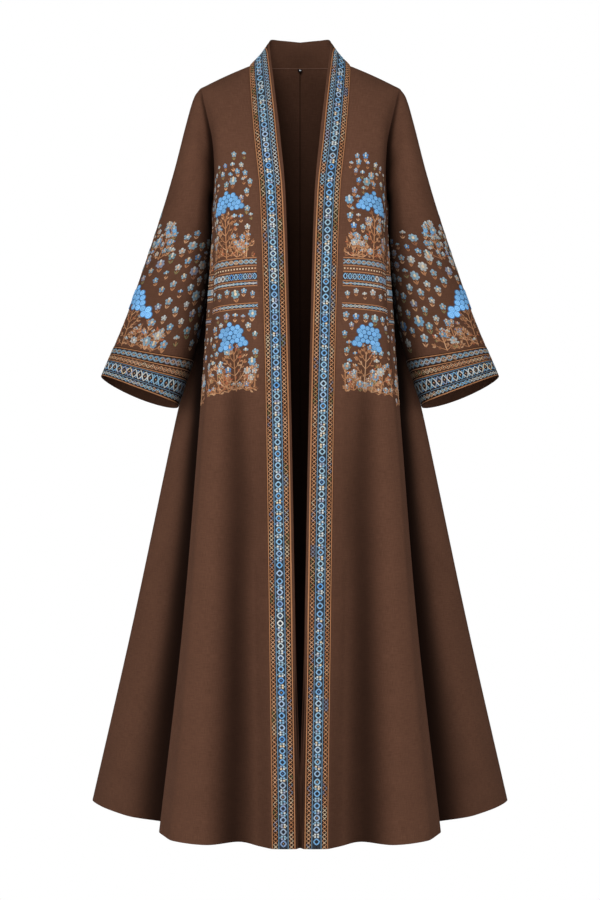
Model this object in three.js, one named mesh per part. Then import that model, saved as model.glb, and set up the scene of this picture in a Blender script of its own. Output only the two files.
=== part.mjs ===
// Open-front abaya, held in the hollow shape it has when worn.
// Millimetres. +Z is up, -Y is the front, +X is the wearer's left.
// The origin lies between the shoulders, level with the side of the neck.
// Each cut and sewn piece is one closed, thin-walled solid.  The wearer's left half is worked out
// from the tables below and mirrored for the right half.
import * as THREE from 'three';

// ---- Driving dimensions ----
const LENGTH = 1423; // from the side of the neck to the hem
const CLOTH = 1.6; // wall of every cloth piece
const RIBBON = 1.0; // wall of the embroidered ribbons
const SEAM_GAP = 0.3; // between pieces that are sewn together
const RIBBON_SHARE = 0.885; // share of the band's width that the ribbon covers
const BAND_CROWN = 1.6; // how far the middle of the band stands out
const CROWN_FULL_DOWN = 200; // the crown grows from nothing at the neck to here
const RIBBON_INSET = 0.015; // share of the band's width left free beside its seam
const MOST_MITRE = 1.9; // longest corner where two walls meet at a seam, in wall thicknesses
const HALF_HEM = 404; // from the centre line to the side of the hem
const SHOULDER_RISE = 1.5; // how much the shoulder seam arches
const SIDE_LIFT = 17; // how much higher the hem hangs at the side than in front

// Armhole: an upright egg in side view, leaning inward towards the underarm.
const ARMHOLE = { centreY: 3, centreZ: -145, halfDepth: 43, halfHeight: 103 };
const ARMHOLE_LEAN = [
  { z: -42, x: 187 },
  { z: -68, x: 180 },
  { z: -111, x: 170 },
  { z: -146, x: 162.5 },
  { z: -185, x: 159.5 },
  { z: -248, x: 159 },
];
const GORE_CORNER = 0.7; // share of the half turn from the shoulder to the underarm
const UNDERARM_DOWN = 250; // the gore's corners, below the side of the neck

// Band: a strip about 50 mm wide, up one front edge and on round the neck as a standing collar.
// "down" is the way along it from the side of the neck, negative towards the centre back, and
// "roll" is how far its bare edge turns back inside.
const BAND_ROWS = [
  { down: -138, seam: [0, 64, 9], edge: [0, 50, 57], roll: 0 },
  { down: -88, seam: [48, 57, 8], edge: [36, 44, 59], roll: 0 },
  { down: -40, seam: [83, 31, 4], edge: [56, 27, 55], roll: 0 },
  { down: 0, seam: [94, 0, 0], edge: [56, -4, 29], roll: 0 },
  { down: 60, seam: [91.6, -46, -60], edge: [48, -52, -42], roll: 0 },
  { down: 150, seam: [84.2, -90, -150], edge: [36.5, -96, -145], roll: 1 },
  { down: UNDERARM_DOWN, seam: [74, -110, -250], edge: [27, -115, -250], roll: 2 },
  { down: 450, seam: [66.9, -122, -450], edge: [20.5, -127, -450], roll: 3 },
  { down: 700, seam: [61, -138, -700], edge: [15, -144, -700], roll: 4 },
  { down: 1060, seam: [55.5, -163, -1060], edge: [8, -168, -1060], roll: 5 },
  { down: 1310, seam: [51.5, -187, -1310], edge: [1, -190, -1310], roll: 9 },
  { down: LENGTH, seam: [50.2, -197, -LENGTH], edge: [1, -197, -LENGTH], roll: 7 },
];

// Lines down each panel as [x, y]; "down" is the drop below the side of the neck.
// Front: a strip beside the band, a trough, a broad ridge and the edge where it turns back.
const FRONT_ROWS = [
  { down: 0, strip: [105, 0], trough: [128, 0], ridge: [151, 0], edge: [174, 0] },
  { down: 60, strip: [103, -46], trough: [126, -44], ridge: [149, -39], edge: [172, -29] },
  { down: 150, strip: [95, -91], trough: [115, -89], ridge: [136, -83], edge: [156, -68] },
  { down: UNDERARM_DOWN, strip: [84, -110], trough: [107, -106], ridge: [131, -97],
    edge: [151, -79] },
  { down: 450, strip: [77, -123], trough: [104, -118], ridge: [130, -111], edge: [150, -100] },
  { down: 700, strip: [76, -138], trough: [110, -124], ridge: [148, -127], edge: [173, -114] },
  { down: 1060, strip: [73, -156], trough: [110, -134], ridge: [158, -150], edge: [196, -135] },
  { down: LENGTH, strip: [70, -180], trough: [109, -148], ridge: [165, -180],
    edge: [226, -160] },
];

// Gore under the arm: the front fold edge, a deep trough behind it, and the lobe at the side.
const GORE_ROWS = [
  { down: UNDERARM_DOWN, fold: [159, -26], trough: [159, -13], lobe: [159, 3], side: [159, 26] },
  { down: 330, fold: [163, -44], trough: [157, -16], lobe: [159, 8], side: [173, 48] },
  { down: 450, fold: [170, -60], trough: [162, -20], lobe: [168, 10], side: [190, 50] },
  { down: 700, fold: [186, -76], trough: [176, -22], lobe: [202, 14], side: [246, 76] },
  { down: 1060, fold: [215, -86], trough: [199, -22], lobe: [246, 18], side: [322, 96] },
  { down: LENGTH, fold: [256, -92], trough: [238, -26], lobe: [326, 16], side: [HALF_HEM, 122] },
];

// Back: two ridges and a trough between them on each half.
const BACK_ROWS = [
  { down: 0, inner: [62, 46], neck: [94, 0], outer: [140, 0] },
  { down: 60, inner: [50, 86], neck: [92, 62], outer: [138, 42] },
  { down: 150, inner: [50, 110], neck: [95, 100], outer: [138, 80] },
  { down: UNDERARM_DOWN, inner: [52, 118], neck: [98, 110], outer: [138, 86] },
  { down: 450, inner: [58, 126], neck: [108, 118], outer: [148, 112] },
  { down: 700, inner: [72, 162], neck: [138, 148], outer: [198, 158] },
  { down: 1060, inner: [90, 214], neck: [176, 180], outer: [258, 202] },
  { down: LENGTH, inner: [110, 264], neck: [216, 212], outer: [318, 256] },
];

// Seams shared by two panels, as [x, y].
const SEAM_ROWS = [
  { down: UNDERARM_DOWN, front: [159, -32], back: [159, 38] },
  { down: 330, front: [157.5, -60], back: [168, 64] },
  { down: 450, front: [158.5, -84], back: [180, 84] },
  { down: 700, front: [181, -97], back: [234, 122] },
  { down: 1060, front: [208, -111], back: [304, 154] },
  { down: LENGTH, front: [247, -122], back: [384, 192] },
];
const CENTRE_BACK_ROWS = [
  { down: 0, y: 64 },
  { down: 60, y: 92 },
  { down: 150, y: 113 },
  { down: UNDERARM_DOWN, y: 120 },
  { down: 450, y: 120 },
  { down: 700, y: 152 },
  { down: 1060, y: 196 },
  { down: LENGTH, y: 234 },
];

// Sleeve: rings from the armhole to the cuff.  "top" and "under" are [x, z] of the ring's two
// ends, "deep" is half its depth, "y" its middle and "lag" how much lower its back hangs.
const SLEEVE_ROWS = [
  { along: 0, top: [187, -42], under: [159, -248], deep: 43, y: 3, lag: 0 },
  { along: 0.035, top: [198, -58], under: [166, -251], deep: 46, y: 3, lag: 0 },
  { along: 0.12, top: [211.5, -104], under: [168, -267], deep: 52, y: 1, lag: 0 },
  { along: 0.28, top: [237, -204], under: [166, -325], deep: 55, y: -2, lag: 2 },
  { along: 0.52, top: [276.5, -334], under: [172, -400], deep: 54, y: -6, lag: 6 },
  { along: 0.78, top: [323.5, -468], under: [190, -515], deep: 48, y: -10, lag: 12 },
  { along: 1, top: [371, -580], under: [229, -634], deep: 42, y: -12, lag: 19 },
];
const CUFF_DEEP = 60; // height of the embroidered band round the sleeve's end
const SLEEVE_SQUARE = 0.86; // under 1 fills a ring's corners out
const SLEEVE_SETTLE = 0.24; // how far along the rings take to leave the armhole's own shape

// Size tab in the back neck seam.
const TAB = { wide: 8, high: 7, thick: 0.8, clear: 0.3, below: 1.6, curve: 8 };

// ---- Steps of the facets ----
const YOKE_STEPS = [0, 30, 60, 100, 150, 200, UNDERARM_DOWN]; // down to the gore's corner
const SKIRT_STEPS = [310, 380, 450, 540, 630, 730, 840, 950, 1060, 1180, 1300, LENGTH];
const COLLAR_STEPS = [-138, -112, -88, -64, -42, -20]; // round the neck
const SLEEVE_STEPS = [0, 0.04, 0.1, 0.17, 0.28, 0.39, 0.52, 0.65, 0.77, 0.89]; // to the cuff band
const CUFF_STEPS = [1, 1.5, 2]; // across the cuff band
const FRONT_ACROSS = 8;
const GORE_ACROSS = 10;

// ---- Small vector and curve helpers ----
const vec = (x, y, z) => new THREE.Vector3(x, y, z);
const lerp = THREE.MathUtils.lerp;

// A smooth curve through rows of numbers: cubic pieces with the slope of each row's neighbours.
function curveAt(knots, values, t) {
  let k = 0;
  while (k < knots.length - 2 && t > knots[k + 1]) k += 1;
  const span = knots[k + 1] - knots[k];
  const s = (t - knots[k]) / span;
  const slope = (i, axis) => {
    const a = Math.max(i - 1, 0);
    const b = Math.min(i + 1, knots.length - 1);
    return (values[b][axis] - values[a][axis]) / (knots[b] - knots[a]);
  };
  const from = 2 * s ** 3 - 3 * s ** 2 + 1;
  const leave = (s ** 3 - 2 * s ** 2 + s) * span;
  const arrive = (s ** 3 - s ** 2) * span;
  return values[k].map((value, axis) => (
    value * from + values[k + 1][axis] * (1 - from)
    + slope(k, axis) * leave + slope(k + 1, axis) * arrive
  ));
}

function tableAt(rows, key, column, t) {
  return curveAt(rows.map((row) => row[key]), rows.map((row) => [row[column]].flat()), t);
}

// ---- Seams ----
// Height of a point of the skirt: the hem lifts towards the side with the square of x and of down.
function skirtZ(down, x) {
  return -down + SIDE_LIFT * (down / LENGTH) ** 3 * (x / HALF_HEM) ** 2;
}

// The armhole, from the shoulder (0) past the underarm (0.5) and back (1); the front comes first.
function armholeAt(turn) {
  const angle = 2 * Math.PI * turn;
  const z = ARMHOLE.centreZ + ARMHOLE.halfHeight * Math.cos(angle);
  const x = tableAt([...ARMHOLE_LEAN].reverse(), 'z', 'x', z)[0];
  return vec(x, ARMHOLE.centreY - ARMHOLE.halfDepth * Math.sin(angle), z);
}

// Where a panel's row meets the armhole: the gore's corner at the underarm's row.
function armholeTurn(down) {
  return (GORE_CORNER / 2) * (down / UNDERARM_DOWN);
}

const bandSeam = (down) => vec(...tableAt(BAND_ROWS, 'down', 'seam', down));
const bandEdge = (down) => vec(...tableAt(BAND_ROWS, 'down', 'edge', down));

// The edge a front or a back shares with the armhole, then with the gore.
function sideSeam(which, down) {
  const turn = armholeTurn(Math.min(down, UNDERARM_DOWN));
  const corner = armholeAt(which === 'front' ? turn : 1 - turn);
  if (down <= UNDERARM_DOWN) return corner;
  const rows = SEAM_ROWS.map((row, i) => {
    const [x, y] = row[which];
    return { down: row.down, at: i ? [x, y, skirtZ(row.down, x)] : corner.toArray() };
  });
  return vec(...tableAt(rows, 'down', 'at', down));
}

function centreBack(down) {
  const y = tableAt(CENTRE_BACK_ROWS, 'down', 'y', down)[0];
  const neckZ = BAND_ROWS[0].seam[2];
  return vec(0, y, -down + neckZ * Math.max(0, 1 - down / UNDERARM_DOWN));
}

// The shoulder seam, from the side of the neck (0) to the top of the armhole (1).
function shoulderSeam(share) {
  const point = bandSeam(0).lerp(armholeAt(0), share);
  point.z += SHOULDER_RISE * Math.sin(Math.PI * share);
  return point;
}

// ---- Panels ----
// A panel is a net: lines that run down it at set shares of its width, joined across by a curve.
// "top" is its true upper edge, which the net meets over the first "settle" millimetres.
function netPoint(panel, share, down) {
  const across = (d) => vec(...curveAt(
    panel.shares, panel.lines.map((line) => line(d).toArray()), share,
  ));
  const point = across(down);
  const left = Math.max(0, 1 - (down - panel.start) / panel.settle);
  if (left > 0) {
    const miss = panel.top(share).sub(across(panel.start));
    point.addScaledVector(miss, left ** 2);
  }
  return point;
}

// A line down a panel from a table's column; its height is shared out between the row's two ends.
function columnLine(rows, column, share, inner, outer) {
  return (down) => {
    const [x, y] = tableAt(rows, 'down', column, down);
    if (down > UNDERARM_DOWN) {
      const ends = lerp(inner(down).z - skirtZ(down, inner(down).x),
        outer(down).z - skirtZ(down, outer(down).x), share);
      return vec(x, y, skirtZ(down, x) + ends);
    }
    return vec(x, y, lerp(inner(down).z, outer(down).z, share));
  };
}

function makePanel(rows, columns, shares, inner, outer, edges) {
  const lines = columns.map((name, i) => columnLine(rows, name, shares[i + 1], inner, outer));
  return { shares, lines: [inner, ...lines, outer], ...edges };
}

const frontPanel = makePanel(
  FRONT_ROWS, ['strip', 'trough', 'ridge', 'edge'], [0, 0.125, 0.375, 0.625, 0.875, 1],
  bandSeam, (down) => sideSeam('front', down),
  { start: 0, settle: 60, top: shoulderSeam },
);

const gorePanel = makePanel(
  GORE_ROWS, ['fold', 'trough', 'lobe', 'side'], [0, 0.1, 0.3, 0.5, 0.8, 1],
  (down) => sideSeam('front', down), (down) => sideSeam('back', down),
  {
    start: UNDERARM_DOWN,
    settle: 90,
    top: (share) => armholeAt(lerp(GORE_CORNER / 2, 1 - GORE_CORNER / 2, share)),
  },
);

const NECK_SHARE = 0.5; // of the back's width: the neck seam, then the shoulder seam
const backPanel = makePanel(
  BACK_ROWS, ['inner', 'neck', 'outer'], [0, 0.25, NECK_SHARE, 0.75, 1],
  centreBack, (down) => sideSeam('back', down),
  {
    start: 0,
    settle: 60,
    top: (share) => (share <= NECK_SHARE
      ? bandSeam(lerp(BAND_ROWS[0].down, 0, share / NECK_SHARE))
      : shoulderSeam((share - NECK_SHARE) / (1 - NECK_SHARE))),
  },
);

// A point of the sleeve: "turn" runs round each ring as on the armhole, "along" down the sleeve.
function sleevePoint(turn, along) {
  const row = (column) => tableAt(SLEEVE_ROWS, 'along', column, along);
  const ring = (at) => {
    const [topX, topZ] = at('top');
    const [underX, underZ] = at('under');
    const angle = 2 * Math.PI * turn;
    const swell = (value) => Math.sign(value) * Math.abs(value) ** SLEEVE_SQUARE;
    const reach = (1 + Math.cos(angle)) / 2;
    const side = -swell(Math.sin(angle));
    const lag = at('lag')[0] * ((1 + side) / 2) ** 2;
    return vec(lerp(underX, topX, reach), at('y')[0] + side * at('deep')[0],
      lerp(underZ, topZ, reach) - lag);
  };
  const point = ring(row);
  const left = Math.max(0, 1 - along / SLEEVE_SETTLE) ** 2;
  if (left > 0) {
    const miss = armholeAt(turn).sub(ring((c) => tableAt(SLEEVE_ROWS, 'along', c, 0)));
    point.addScaledVector(miss, left);
  }
  return point;
}

// How far along the sleeve a row lies: steps 0 to 1 run down to the cuff band, 1 to 2 across it.
function rowAlong(turn, step) {
  const [first, last] = [SLEEVE_ROWS[0], SLEEVE_ROWS.at(-1)];
  const long = (end) => Math.hypot(last[end][0] - first[end][0], last[end][1] - first[end][1]);
  const reach = (1 + Math.cos(2 * Math.PI * turn)) / 2;
  const start = 1 - CUFF_DEEP / lerp(long('under'), long('top'), reach);
  return step <= 1 ? start * step : lerp(start, 1, step - 1);
}

// A point of the band: straight from its seam to its free edge, with a slight crown between,
// and past the ribbon the bare edge rolls back.
function bandPoint(share, down) {
  const point = bandSeam(down).lerp(bandEdge(down), share);
  const crown = BAND_CROWN * Math.sin(Math.PI * share) * THREE.MathUtils.smoothstep(down, 0, CROWN_FULL_DOWN);
  const past = Math.max(0, share - RIBBON_SHARE) / (1 - RIBBON_SHARE);
  point.y += tableAt(BAND_ROWS, 'down', 'roll', down)[0] * past - crown;
  return point;
}

// ---- Walls ----
// grid[row][column] of points on the middle of a piece's cloth.
function gridOf(rows, columns, pointAt) {
  return rows.map((row) => columns.map((column) => pointAt(column, row)));
}

// The way out of the cloth at each point, from its neighbours along the row and the column.
function normalsOf(grid, round, outward) {
  const last = grid.length - 1;
  return grid.map((row, j) => row.map((_, i) => {
    const wrap = (k) => (round ? (k + row.length) % row.length
      : THREE.MathUtils.clamp(k, 0, row.length - 1));
    const across = row[wrap(i + 1)].clone().sub(row[wrap(i - 1)]);
    const along = grid[Math.min(j + 1, last)][i].clone().sub(grid[Math.max(j - 1, 0)][i]);
    return across.cross(along).normalize().multiplyScalar(outward);
  }));
}

// Where pieces meet at a seam they share its points: there each gets the same mitred direction.
// A point on the centre plane meets its mirrored twin.
function mitreSeams(pieces) {
  const meeting = new Map();
  pieces.forEach(({ grid, out }) => grid.forEach((row, j) => row.forEach((point, i) => {
    const key = point.toArray().map((value) => Math.round(value * 10)).join();
    const twin = out[j][i].clone().multiply(vec(-1, 1, 1));
    const directions = Math.abs(point.x) < SEAM_GAP / 2 ? [out[j][i], twin] : [out[j][i]];
    meeting.set(key, [...(meeting.get(key) ?? []), ...directions]);
  })));
  meeting.forEach((directions) => {
    if (directions.length < 2) return;
    const middle = vec(0, 0, 0);
    directions.forEach((direction) => middle.add(direction));
    middle.normalize();
    const flattest = Math.min(...directions.map((direction) => direction.dot(middle)));
    const mitre = flattest * MOST_MITRE > 1 ? 1 / flattest : MOST_MITRE;
    directions.forEach((direction) => direction.copy(middle).multiplyScalar(mitre));
  });
}

// Draws the sewn edges of a grid in by half the seam gap.
function drawIn(grid, sides) {
  const pull = (point, towards) => {
    const step = towards.clone().sub(point).setLength(SEAM_GAP / 2);
    return point.clone().add(step);
  };
  const rows = grid.map((row) => row.map((point) => point.clone()));
  const lastRow = grid.length - 1;
  const lastColumn = grid[0].length - 1;
  grid.forEach((row, j) => row.forEach((point, i) => {
    if (sides.includes('start') && i === 0) rows[j][i] = pull(rows[j][i], row[1]);
    if (sides.includes('end') && i === lastColumn) rows[j][i] = pull(rows[j][i], row[i - 1]);
    if (sides.includes('top') && j === 0) rows[j][i] = pull(rows[j][i], grid[1][i]);
    if (sides.includes('foot') && j === lastRow) rows[j][i] = pull(rows[j][i], grid[j - 1][i]);
  }));
  return rows;
}

// A closed wall between two offsets of a grid, either a flat sheet or a tube open at its ends.
function wallOf(grid, normals, inside, outside, round) {
  const height = grid.length;
  const width = grid[0].length;
  const positions = [];
  [outside, inside].forEach((offset) => grid.forEach((row, j) => row.forEach((point, i) => {
    const at = point.clone().addScaledVector(normals[j][i], offset);
    positions.push(at.x, at.y, at.z);
  })));
  const outer = (j, i) => j * width + (i % width);
  const inner = (j, i) => height * width + outer(j, i);
  const index = [];
  const quad = (a, b, c, d) => index.push(a, b, c, a, c, d);
  const columns = round ? width : width - 1;
  for (let j = 0; j < height - 1; j += 1) {
    for (let i = 0; i < columns; i += 1) {
      quad(outer(j, i), outer(j, i + 1), outer(j + 1, i + 1), outer(j + 1, i));
      quad(inner(j, i), inner(j + 1, i), inner(j + 1, i + 1), inner(j, i + 1));
    }
  }
  for (let i = 0; i < columns; i += 1) {
    quad(outer(0, i), inner(0, i), inner(0, i + 1), outer(0, i + 1));
    quad(outer(height - 1, i), outer(height - 1, i + 1), inner(height - 1, i + 1),
      inner(height - 1, i));
  }
  if (!round) {
    for (let j = 0; j < height - 1; j += 1) {
      quad(outer(j, 0), outer(j + 1, 0), inner(j + 1, 0), inner(j, 0));
      quad(outer(j, width - 1), inner(j, width - 1), inner(j + 1, width - 1),
        outer(j + 1, width - 1));
    }
  }
  const geometry = new THREE.BufferGeometry();
  geometry.setAttribute('position', new THREE.Float32BufferAttribute(positions, 3));
  geometry.setIndex(index);
  return facingOut(geometry);
}

function turnOver(geometry) {
  const index = Array.from(geometry.index.array);
  for (let k = 0; k < index.length; k += 3) [index[k], index[k + 1]] = [index[k + 1], index[k]];
  geometry.setIndex(index);
  return geometry;
}

function facingOut(geometry) {
  const at = geometry.attributes.position;
  const index = geometry.index.array;
  const corner = (k) => vec(at.getX(index[k]), at.getY(index[k]), at.getZ(index[k]));
  let volume = 0;
  for (let k = 0; k < index.length; k += 3) {
    volume += corner(k).dot(corner(k + 1).cross(corner(k + 2)));
  }
  return volume < 0 ? turnOver(geometry) : geometry;
}

function mirrored(geometry) {
  const copy = geometry.clone();
  copy.applyMatrix4(new THREE.Matrix4().makeScale(-1, 1, 1));
  return turnOver(copy);
}

// ---- The pieces of the wearer's left half ----
const range = (count, from, to) => (
  Array.from({ length: count + 1 }, (_, i) => lerp(from, to, i / count)));

// Each piece: its grid, the way out of its cloth, whether it closes on itself and its sewn sides.
function leftPieces() {
  const downs = [...YOKE_STEPS, ...SKIRT_STEPS];
  const goreDowns = [UNDERARM_DOWN, ...SKIRT_STEPS];
  const collarLength = -BAND_ROWS[0].down;
  const backShares = [
    ...COLLAR_STEPS.map((down) => NECK_SHARE * (1 + down / collarLength)),
    ...range(FRONT_ACROSS, NECK_SHARE, 1),
  ];
  const turns = [
    ...YOKE_STEPS.map(armholeTurn),
    ...range(GORE_ACROSS, GORE_CORNER / 2, 1 - GORE_CORNER / 2).slice(1, -1),
    ...YOKE_STEPS.slice(1).map((down) => 1 - armholeTurn(down)).reverse(),
  ];
  const piece = (rows, columns, pointAt, outward, sewn, round = false) => {
    const grid = gridOf(rows, columns, pointAt);
    return { grid, out: normalsOf(grid, round, outward), sewn, round };
  };
  const net = (panel) => (share, down) => netPoint(panel, share, down);
  const pieces = {
    front: piece(downs, range(FRONT_ACROSS, 0, 1), net(frontPanel), -1, ['start', 'end', 'top']),
    gore: piece(goreDowns, range(GORE_ACROSS, 0, 1), net(gorePanel), -1,
      ['start', 'end', 'top']),
    back: piece(downs, backShares, net(backPanel), 1, ['start', 'end', 'top']),
    sleeve: piece([...SLEEVE_STEPS, ...CUFF_STEPS], turns,
      (turn, step) => sleevePoint(turn, rowAlong(turn, step)), 1, ['top'], true),
    band: piece([...COLLAR_STEPS, ...downs], [0, RIBBON_SHARE / 2, RIBBON_SHARE, 1], bandPoint,
      1, ['start', 'top']),
  };
  mitreSeams(Object.values(pieces));
  return pieces;
}

// The ribbon on the band and the band round the cuff: their carrier's points, moved out.
function ribbonOn(pieces) {
  const rows = [...COLLAR_STEPS, ...YOKE_STEPS, ...SKIRT_STEPS];
  const grid = gridOf(rows, [RIBBON_INSET, RIBBON_SHARE / 2, RIBBON_SHARE], bandPoint);
  return { grid, out: pieces.band.out.map((row) => row.slice(0, 3)), sewn: ['top'], round: false };
}

function cuffBandOn({ sleeve }) {
  const count = CUFF_STEPS.length;
  return { grid: sleeve.grid.slice(-count), out: sleeve.out.slice(-count), sewn: [], round: true };
}

function clothWall({ grid, out, sewn, round }) {
  return wallOf(drawIn(grid, sewn), out, -CLOTH / 2, CLOTH / 2, round);
}

function ribbonWall({ grid, out, sewn, round }) {
  const inside = CLOTH / 2 + SEAM_GAP;
  return wallOf(drawIn(grid, sewn), out, inside, inside + RIBBON, round);
}

// A small tab with a round lower end, hanging flat inside the centre back from the neck seam.
function sizeTab() {
  const half = TAB.wide / 2;
  const outline = new THREE.Shape();
  outline.moveTo(-half, 0);
  outline.lineTo(-half, half - TAB.high);
  outline.absarc(0, half - TAB.high, half, Math.PI, 2 * Math.PI, false);
  outline.lineTo(half, 0);
  outline.closePath();
  const tab = new THREE.ExtrudeGeometry(outline, {
    depth: TAB.thick, bevelEnabled: false, curveSegments: TAB.curve,
  });
  const top = centreBack(0);
  const slope = centreBack(YOKE_STEPS[1]).sub(top);
  const lean = Math.atan2(slope.y, -slope.z);
  tab.translate(0, -TAB.below, CLOTH / 2 + TAB.clear);
  tab.rotateX(lean);
  tab.translate(0, top.y, top.z);
  return tab;
}

// ---- Materials ----
const FINISH = {
  cloth: { color: 0x5c4032, roughness: 0.92, metalness: 0 },
  band: { color: 0x5a3e31, roughness: 0.9, metalness: 0 },
  ribbon: { color: 0x5f7f96, roughness: 0.7, metalness: 0 },
  tab: { color: 0x17181a, roughness: 0.6, metalness: 0 },
};

// ---- The garment ----
function buildAbaya() {
  const abaya = new THREE.Group();
  const add = (name, geometry, finish) => {
    const mesh = new THREE.Mesh(geometry, new THREE.MeshStandardMaterial(FINISH[finish]));
    mesh.name = name;
    abaya.add(mesh);
  };
  const pieces = leftPieces();
  const walls = [
    ['front', clothWall(pieces.front), 'cloth'],
    ['gore', clothWall(pieces.gore), 'cloth'],
    ['back', clothWall(pieces.back), 'cloth'],
    ['sleeve', clothWall(pieces.sleeve), 'cloth'],
    ['band', clothWall(pieces.band), 'band'],
    ['ribbon', ribbonWall(ribbonOn(pieces)), 'ribbon'],
    ['cuff_band', ribbonWall(cuffBandOn(pieces)), 'ribbon'],
  ];
  walls.forEach(([name, geometry, finish]) => {
    add(`${name}_left`, geometry, finish);
    add(`${name}_right`, mirrored(geometry), finish);
  });
  add('size_tab', sizeTab(), 'tab');
  return abaya;
}

export default buildAbaya();
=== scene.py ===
import math
from collections import namedtuple
from functools import partial

import bpy
import numpy as np
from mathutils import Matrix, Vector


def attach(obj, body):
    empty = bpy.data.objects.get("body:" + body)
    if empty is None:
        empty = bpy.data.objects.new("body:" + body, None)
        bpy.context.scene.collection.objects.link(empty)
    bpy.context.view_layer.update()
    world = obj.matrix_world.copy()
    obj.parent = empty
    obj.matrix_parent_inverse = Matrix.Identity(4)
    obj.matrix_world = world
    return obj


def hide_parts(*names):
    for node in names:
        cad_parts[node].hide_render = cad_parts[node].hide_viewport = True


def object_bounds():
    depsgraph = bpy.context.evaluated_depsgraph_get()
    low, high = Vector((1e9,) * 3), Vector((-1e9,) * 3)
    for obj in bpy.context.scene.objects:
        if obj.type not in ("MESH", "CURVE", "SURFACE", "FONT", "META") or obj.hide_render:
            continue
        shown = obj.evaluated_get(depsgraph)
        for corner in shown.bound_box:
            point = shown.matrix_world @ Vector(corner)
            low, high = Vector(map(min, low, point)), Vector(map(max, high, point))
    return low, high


# Open-front abaya, held in the hollow shape it has when worn.
# The garment's own tables are in millimetres, as a cutter's are; meshes are made in metres.
# +Z is up, -Y is the front, +X is the wearer's left; the origin lies between the shoulders.

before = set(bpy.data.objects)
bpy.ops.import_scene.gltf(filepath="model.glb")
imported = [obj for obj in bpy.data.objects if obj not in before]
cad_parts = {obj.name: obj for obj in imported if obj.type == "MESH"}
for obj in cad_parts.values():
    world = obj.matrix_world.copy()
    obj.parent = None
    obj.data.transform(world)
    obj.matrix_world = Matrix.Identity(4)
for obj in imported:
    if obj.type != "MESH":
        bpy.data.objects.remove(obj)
CAD_BOX = [list(corner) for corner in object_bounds()]
MM = 0.001
CIRCLE = 2 * math.pi

# ---- Sizes of the cut ----
LENGTH = 1423.0  # from the side of the neck to the hem
CLOTH_THICK = 1.3
HALF_THICK = CLOTH_THICK / 2
RIBBON_SHARE = 0.885  # share of the band's width that the ribbon covers
BAND_CROWN = 1.6  # how far the middle of the band stands out
CROWN_FULL_DOWN = 200.0
HALF_HEM = 404.0
SHOULDER_RISE = 1.5
SIDE_LIFT = 17.0  # how much higher the hem hangs at the side than in front
GORE_CORNER = 0.7  # share of the half turn from the shoulder to the underarm
UNDERARM_DOWN = 250.0
CUFF_DEEP = 60.0  # height of the embroidered band round the sleeve's end
SLEEVE_SQUARE = 0.86  # under 1 fills a ring's corners out
SLEEVE_SETTLE = 0.24

ARMHOLE_Y, ARMHOLE_Z, ARMHOLE_HALF_DEPTH, ARMHOLE_HALF_HEIGHT = 3.0, -145.0, 43.0, 103.0
TAB_WIDE, TAB_HIGH, TAB_THICK, TAB_CLEAR, TAB_BELOW = 8.0, 7.0, 0.8, 0.3, 1.6


class Table:
    """Rows of numbers: where each row lies, then a value or a place under each of the names."""

    def __init__(self, names, *rows):
        self.at = np.array([row[0] for row in rows], float)
        self.under = {name: np.array([row[k] for row in rows], float).reshape(len(rows), -1)
                      for k, name in enumerate(names.split(), 1)}

    def place(self, name, t):
        """The curve through a name's places."""
        return through(self.at, self.under[name], t)

    def value(self, name, t):
        """The curve through a name's numbers."""
        return self.place(name, t)[..., 0]


ARMHOLE_LEAN = Table("x", (-248, 159), (-185, 159.5), (-146, 162.5), (-111, 170), (-68, 180),
                     (-42, 187))

# Band: a strip up one front edge and on round the neck as a standing collar.  A row lies at its
# way along from the side of the neck; "roll" is how far the bare edge turns back inside.
BAND_ROWS = Table(
    "seam edge roll",
    (-138, (0, 64, 9), (0, 50, 57), 0),
    (-88, (48, 57, 8), (36, 44, 59), 0),
    (-40, (83, 31, 4), (56, 27, 55), 0),
    (0, (94, 0, 0), (56, -4, 29), 0),
    (60, (91.6, -46, -60), (48, -52, -42), 0),
    (150, (84.2, -90, -150), (36.5, -96, -145), 1),
    (UNDERARM_DOWN, (74, -110, -250), (27, -115, -250), 2),
    (450, (66.9, -122, -450), (20.5, -127, -450), 3),
    (700, (61, -138, -700), (15, -144, -700), 4),
    (1060, (55.5, -163, -1060), (8, -168, -1060), 5),
    (1310, (51.5, -187, -1310), (1, -190, -1310), 9),
    (LENGTH, (50.2, -197, -LENGTH), (1, -197, -LENGTH), 7),
)
BAND_START = BAND_ROWS.at[0]

# Lines down each panel as (x, y), at depths below the shoulders.
FRONT_ROWS = Table(
    "strip trough ridge edge",
    (0, (105, 0), (128, 0), (151, 0), (174, 0)),
    (60, (103, -46), (126, -44), (149, -39), (172, -29)),
    (150, (95, -91), (115, -89), (136, -83), (156, -68)),
    (UNDERARM_DOWN, (84, -110), (107, -106), (131, -97), (151, -79)),
    (450, (77, -123), (104, -118), (130, -111), (150, -100)),
    (700, (76, -138), (110, -124), (148, -127), (173, -114)),
    (1060, (73, -156), (110, -134), (158, -150), (196, -135)),
    (LENGTH, (70, -180), (109, -148), (165, -180), (226, -160)),
)
GORE_ROWS = Table(
    "fold trough lobe side",
    (UNDERARM_DOWN, (159, -26), (159, -13), (159, 3), (159, 26)),
    (330, (163, -44), (157, -16), (159, 8), (173, 48)),
    (450, (170, -60), (162, -20), (168, 10), (190, 50)),
    (700, (186, -76), (176, -22), (202, 14), (246, 76)),
    (1060, (215, -86), (199, -22), (246, 18), (322, 96)),
    (LENGTH, (256, -92), (238, -26), (326, 16), (HALF_HEM, 122)),
)
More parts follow.
